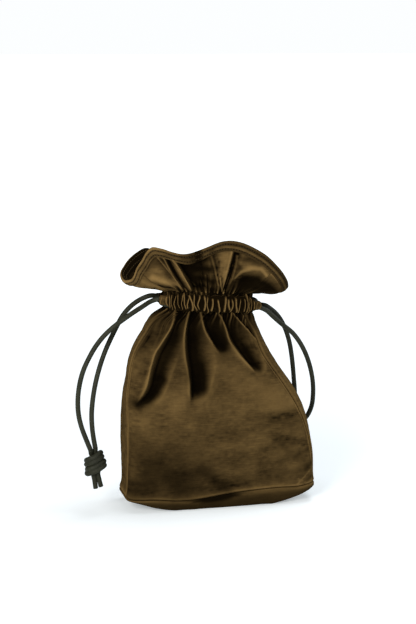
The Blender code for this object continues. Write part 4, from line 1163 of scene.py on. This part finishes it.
class Nodes:
    """A short way to build the nodes of a material or a world."""

    def __init__(self, owner):
        owner.use_nodes = True
        self.owner = owner
        self.tree = owner.node_tree

    def put(self, node, inputs):
        for key, value in inputs.items():
            if isinstance(value, bpy.types.NodeSocket):
                self.tree.links.new(value, node.inputs[key])
            else:
                node.inputs[key].default_value = value

    def add(self, kind, inputs, output=0, **settings):
        node = self.tree.nodes.new("ShaderNode" + kind)
        for key, value in settings.items():
            setattr(node, key, value)
        self.put(node, inputs)
        return node.outputs[output]

    def principled(self, inputs):
        shader = self.tree.nodes["Principled BSDF"]
        self.put(shader, inputs)
        return shader.outputs[0]

    def noise(self, scale, detail, roughness):
        place = self.add("Mapping", {"Vector": self.add("TexCoord", {}, "Object"), "Scale": scale})
        return self.add("TexNoise", {"Vector": place, "Scale": 1.0, "Detail": detail, "Roughness": roughness})

    def ramp(self, value, low, high, to_low=0.0, to_high=1.0):
        ends = {"From Min": low, "From Max": high, "To Min": to_low, "To Max": to_high}
        return self.add("MapRange", {"Value": value, **ends})

    def math(self, operation, a, b):
        return self.add("Math", {0: a, 1: b}, operation=operation)

    def total(self, start, *terms):
        """A start value and the given shares of patterns, whose middle value is 0.5."""
        for pattern, share in terms:
            start = self.math("ADD", start, self.math("MULTIPLY", self.math("SUBTRACT", pattern, 0.5), share))
        return start

    def mix(self, factor, a, b):
        return self.add("Mix", {0: factor, 6: a, 7: b}, 2, data_type="RGBA")

    def bump(self, height, distance, strength, before=None):
        inputs = {"Strength": strength, "Distance": distance, "Height": height}
        return self.add("Bump", {**inputs, "Normal": before} if before else inputs)

    def attribute(self, name):
        return self.add("Attribute", {}, "Fac", attribute_name=name)

    def for_camera(self, plain, shown, end):
        """Shows one shader to the camera and the plain one to all other rays."""
        camera = self.add("LightPath", {}, "Is Camera Ray")
        both = self.add("MixShader", {0: camera, 1: plain, 2: shown})
        self.put(self.tree.nodes[end], {"Surface": both})


# The satin's dark, middle, light and shine colours: dark is also the painted shade's colour and shine the
# painted highlights'
CLOTH_COLOURS = ((0.003, 0.002, 0.0009), (0.078, 0.048, 0.0175), (0.175, 0.108, 0.038), (0.27, 0.165, 0.058))
BAND_COLOURS = ((0.0035, 0.0022, 0.0009), (0.082, 0.051, 0.0185), (0.195, 0.12, 0.043), (0.28, 0.17, 0.06))


def satin(name, colours, roughness):
    """Velvety satin: colour follows the folds, with painted shade in their hollows and painted highlights on
    their raised parts, and with crushed mottling and fine threads across.
    """
    n = Nodes(bpy.data.materials.new(name))
    dark, middle, light, shine = ((*colour, 1) for colour in colours)
    hollow, shade = n.attribute("hollow"), n.attribute("shade")
    broad = n.noise((26, 26, 34), 3.0, 0.55)
    mottle = n.noise((75, 75, 110), 4.0, 0.6)
    fine = n.noise((330, 330, 420), 3.0, 0.6)
    threads = n.noise((90, 90, 1500), 2.0, 0.5)
    # Tone and painted shade: the hollow attribute paints the hollows darker and the raised parts lighter, the
    # noises give the cloth's own uneven tone
    tone_and_shade = n.total(0.48, (hollow, -1.9), (broad, 0.80), (mottle, 0.60), (fine, 0.28), (threads, 0.50))
    colour = n.mix(n.ramp(tone_and_shade, 0.0, 0.5), dark, middle)
    colour = n.mix(n.ramp(tone_and_shade, 0.5, 1.15), colour, light)
    # Painted highlights mix in the shine colour and painted shade mixes in the dark colour, as the shade
    # attribute says
    colour = n.mix(n.ramp(shade, -0.6, 0.0, 0.80, 0.0), colour, shine)
    colour = n.mix(n.ramp(shade, 0.0, 0.95, 0.0, 0.97), colour, dark)
    crushed = n.total(0.5, (mottle, 0.6), (threads, 0.4))
    gloss = n.ramp(crushed, 0.35, 0.65, roughness + 0.10, roughness - 0.08)
    normal = n.bump(threads, 0.00025, 0.30)
    normal = n.bump(fine, 0.0006, 0.40, normal)
    n.principled({
        "Base Color": colour,
        "Roughness": n.math("MAXIMUM", gloss, n.ramp(shade, 0.2, 0.9, 0.0, 0.85)),
        "Normal": n.bump(mottle, 0.0014, 0.30, normal),
        "Specular IOR Level": 0.0,
        "Sheen Weight": 0.06,
        "Sheen Roughness": 0.4,
        "Sheen Tint": (0.60, 0.38, 0.15, 1),
    })
    return n.owner


def cord_material():
    n = Nodes(bpy.data.materials.new("cord_satin"))
    fine = n.noise((900, 900, 900), 2.0, 0.5)
    broad = n.noise((60, 60, 60), 2.0, 0.5)
    # Painted shade in the grooves between the ribs from the hollow attribute, with the cord's own uneven tone
    # from the noises
    tone_and_shade = n.total(0.425, (n.attribute("hollow"), 0.55), (fine, 0.3), (broad, 0.5))
    n.principled({
        "Base Color": n.mix(n.ramp(tone_and_shade, 0.1, 0.8), (0.050, 0.052, 0.034, 1), (0.005, 0.005, 0.003, 1)),
        "Roughness": 0.46,
        "Specular IOR Level": 0.10,
        "Normal": n.bump(fine, 0.0002, 0.4),
    })
    return n.owner


def thread_material():
    n = Nodes(bpy.data.materials.new("stitch_thread"))
    fine = n.noise((1500, 1500, 1500), 2.0, 0.5)
    colour = n.mix(fine, (0.035, 0.023, 0.010, 1), (0.095, 0.062, 0.026, 1))
    n.principled({"Base Color": colour, "Roughness": 0.6, "Specular IOR Level": 0.05})
    return n.owner


def floor_material():
    """A white floor that keeps the pouch's shadow and turns plain white towards the horizon."""
    n = Nodes(bpy.data.materials.new("studio_white"))
    matt = n.principled({"Base Color": (0.86, 0.90, 0.93, 1), "Roughness": 0.9, "Specular IOR Level": 0.1})
    reach = n.add("VectorMath", {0: n.add("TexCoord", {}, "Object")}, "Value", operation="LENGTH")
    strength = n.ramp(reach, *FLOOR_GLOW_REACH, FLOOR_GLOW, 1.0)
    glow = n.add("Emission", {"Color": (0.94, 0.99, 1.0, 1), "Strength": strength})
    n.for_camera(matt, n.add("AddShader", {0: matt, 1: glow}), "Material Output")
    return n.owner


# Stage

FLOOR_HALF = 30  # half the floor's width, in metres
FLOOR_GLOW = 0.34
FLOOR_GLOW_REACH = (0.25, 1.4)  # metres from the pouch between which the floor turns plain white
CAMERA_TURN = (math.radians(80), 0, math.radians(-13.5))  # 13.5 degrees left of the front, 10 degrees down
CAMERA_LENS = 92
CAMERA_DISTANCE = 1.6
CAMERA_TARGET = Vector((-0.8, 33.8, 185)) * MM
LIGHT_TARGET = Vector((0, 0, 0.13))
LIGHTS = (  # name, place, size, power and colour
    ("key", (-0.75, -1.0, 0.62), 0.55, 13, (1.0, 0.97, 0.92)),
    ("low_fill", (-0.25, -1.3, 0.10), 0.5, 0.8, (1.0, 0.98, 0.95)),
    ("top", (0.25, 0.1, 1.2), 0.8, 6, (0.95, 0.98, 1.0)),
    ("right_rim", (1.0, 0.1, 0.45), 0.5, 3.0, (0.95, 0.98, 1.0)),
)


def make_camera():
    camera = bpy.data.cameras.new("camera")
    camera.lens = CAMERA_LENS
    camera.sensor_width = 36
    obj = link_object("camera", camera)
    obj.rotation_euler = CAMERA_TURN
    obj.location = CAMERA_TARGET + obj.rotation_euler.to_matrix() @ Vector((0, 0, CAMERA_DISTANCE))
    bpy.context.scene.camera = obj


def make_world():
    """Soft light from all round, with a plain white background for the camera alone."""
    bpy.context.scene.world = bpy.data.worlds.new("studio")
    n = Nodes(bpy.context.scene.world)
    n.put(n.tree.nodes["Background"], {"Color": (0.93, 0.97, 1.0, 1), "Strength": 0.24})
    shown = n.add("Background", {"Color": (0.975, 0.993, 1.0, 1), "Strength": 1.0})
    n.for_camera(n.tree.nodes["Background"].outputs[0], shown, "World Output")


def make_stage():
    make_world()
    for name, place, size, power, colour in LIGHTS:
        lamp = bpy.data.lights.new(name, "AREA")
        lamp.shape = "DISK"
        lamp.size = size
        lamp.energy = power
        lamp.color = colour
        obj = link_object(name, lamp)
        obj.location = place
        obj.rotation_euler = (Vector(place) - LIGHT_TARGET).to_track_quat("Z", "Y").to_euler()
    verts = [(x * FLOOR_HALF, y * FLOOR_HALF, 0) for x, y in ((-1, -1), (1, -1), (1, 1), (-1, 1))]
    floor = make_piece("floor", verts, [(0, 1, 2, 3)], floor_material())


# Assembly


def add_part(piece, node):
    """Gives a piece its body and hides the model's node that it stands for."""
    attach(piece, "root")
    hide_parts(node)
    return piece


def add_drawcord(name, turn, routes, tail_ends, spin, material):
    """One drawcord: its run in the casings, its two hanging strands and their knot."""
    run = casing_run(turn, turn * (CORD_DIAMETER + LANE_GAP) / 2)
    inner = make_tubes(f"{name}_cord_in_casing", [cord_tube(resample(run, RUN_STEP))], material)
    add_part(inner, f"{name}_drawcord")
    strands = []
    for which, start, route in zip(("front", "back"), (run[0], run[-1]), routes):
        path = resample(np.vstack((start, route)), STRAND_STEP)
        piece = make_tubes(f"{name}_{which}_strand", [cord_tube(path)], material)
        strands.append((add_part(piece, f"{name}_drawcord"), path))
    ends = np.array([path[-1] for _, path in strands])
    knot = make_knot(f"{name}_overhand_knot", ends, tail_ends, spin, material)
    add_part(knot, f"{name}_knot")


def add_casing(node, middle, tabs, seed, material):
    add_part(make_casing(node + "_cloth", middle, tabs, seed, material), node)
    for side, turn, tab_middle in zip(("first", "last"), (-1, 1), tabs):
        back = make_tab_back(f"{node}_{side}_tab_back", middle, turn, tab_middle, material)
        add_part(back, node)


def main():
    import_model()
    bpy.context.scene.view_settings.view_transform = "Standard"
    make_camera()

    cord = cord_material()
    left_routes, right_routes = (LEFT_FRONT_ROUTE, LEFT_BACK_ROUTE), (RIGHT_FRONT_ROUTE, RIGHT_BACK_ROUTE)
    add_drawcord("left", 1, left_routes, LEFT_TAIL_ENDS, spin=0.0, material=cord)
    add_drawcord("right", -1, right_routes, RIGHT_TAIL_ENDS, spin=0.5, material=cord)

    cloth = satin("pouch_satin", CLOTH_COLOURS, roughness=0.50)
    trim = satin("band_satin", BAND_COLOURS, roughness=0.46)
    for side in SIDES:
        add_part(make_panel(side, cloth), side.name)
    add_part(make_base(cloth), "base_panel")
    add_part(make_band(trim), "mouth_binding")
    add_part(make_stitches(thread_material()), "mouth_binding")
    add_casing("front_casing", 0, LEFT_RIGHT_TABS, seed=5, material=trim)
    add_casing("back_casing", BACK_MIDDLE, LEFT_RIGHT_TABS[::-1], seed=9, material=trim)

    make_stage()


main()
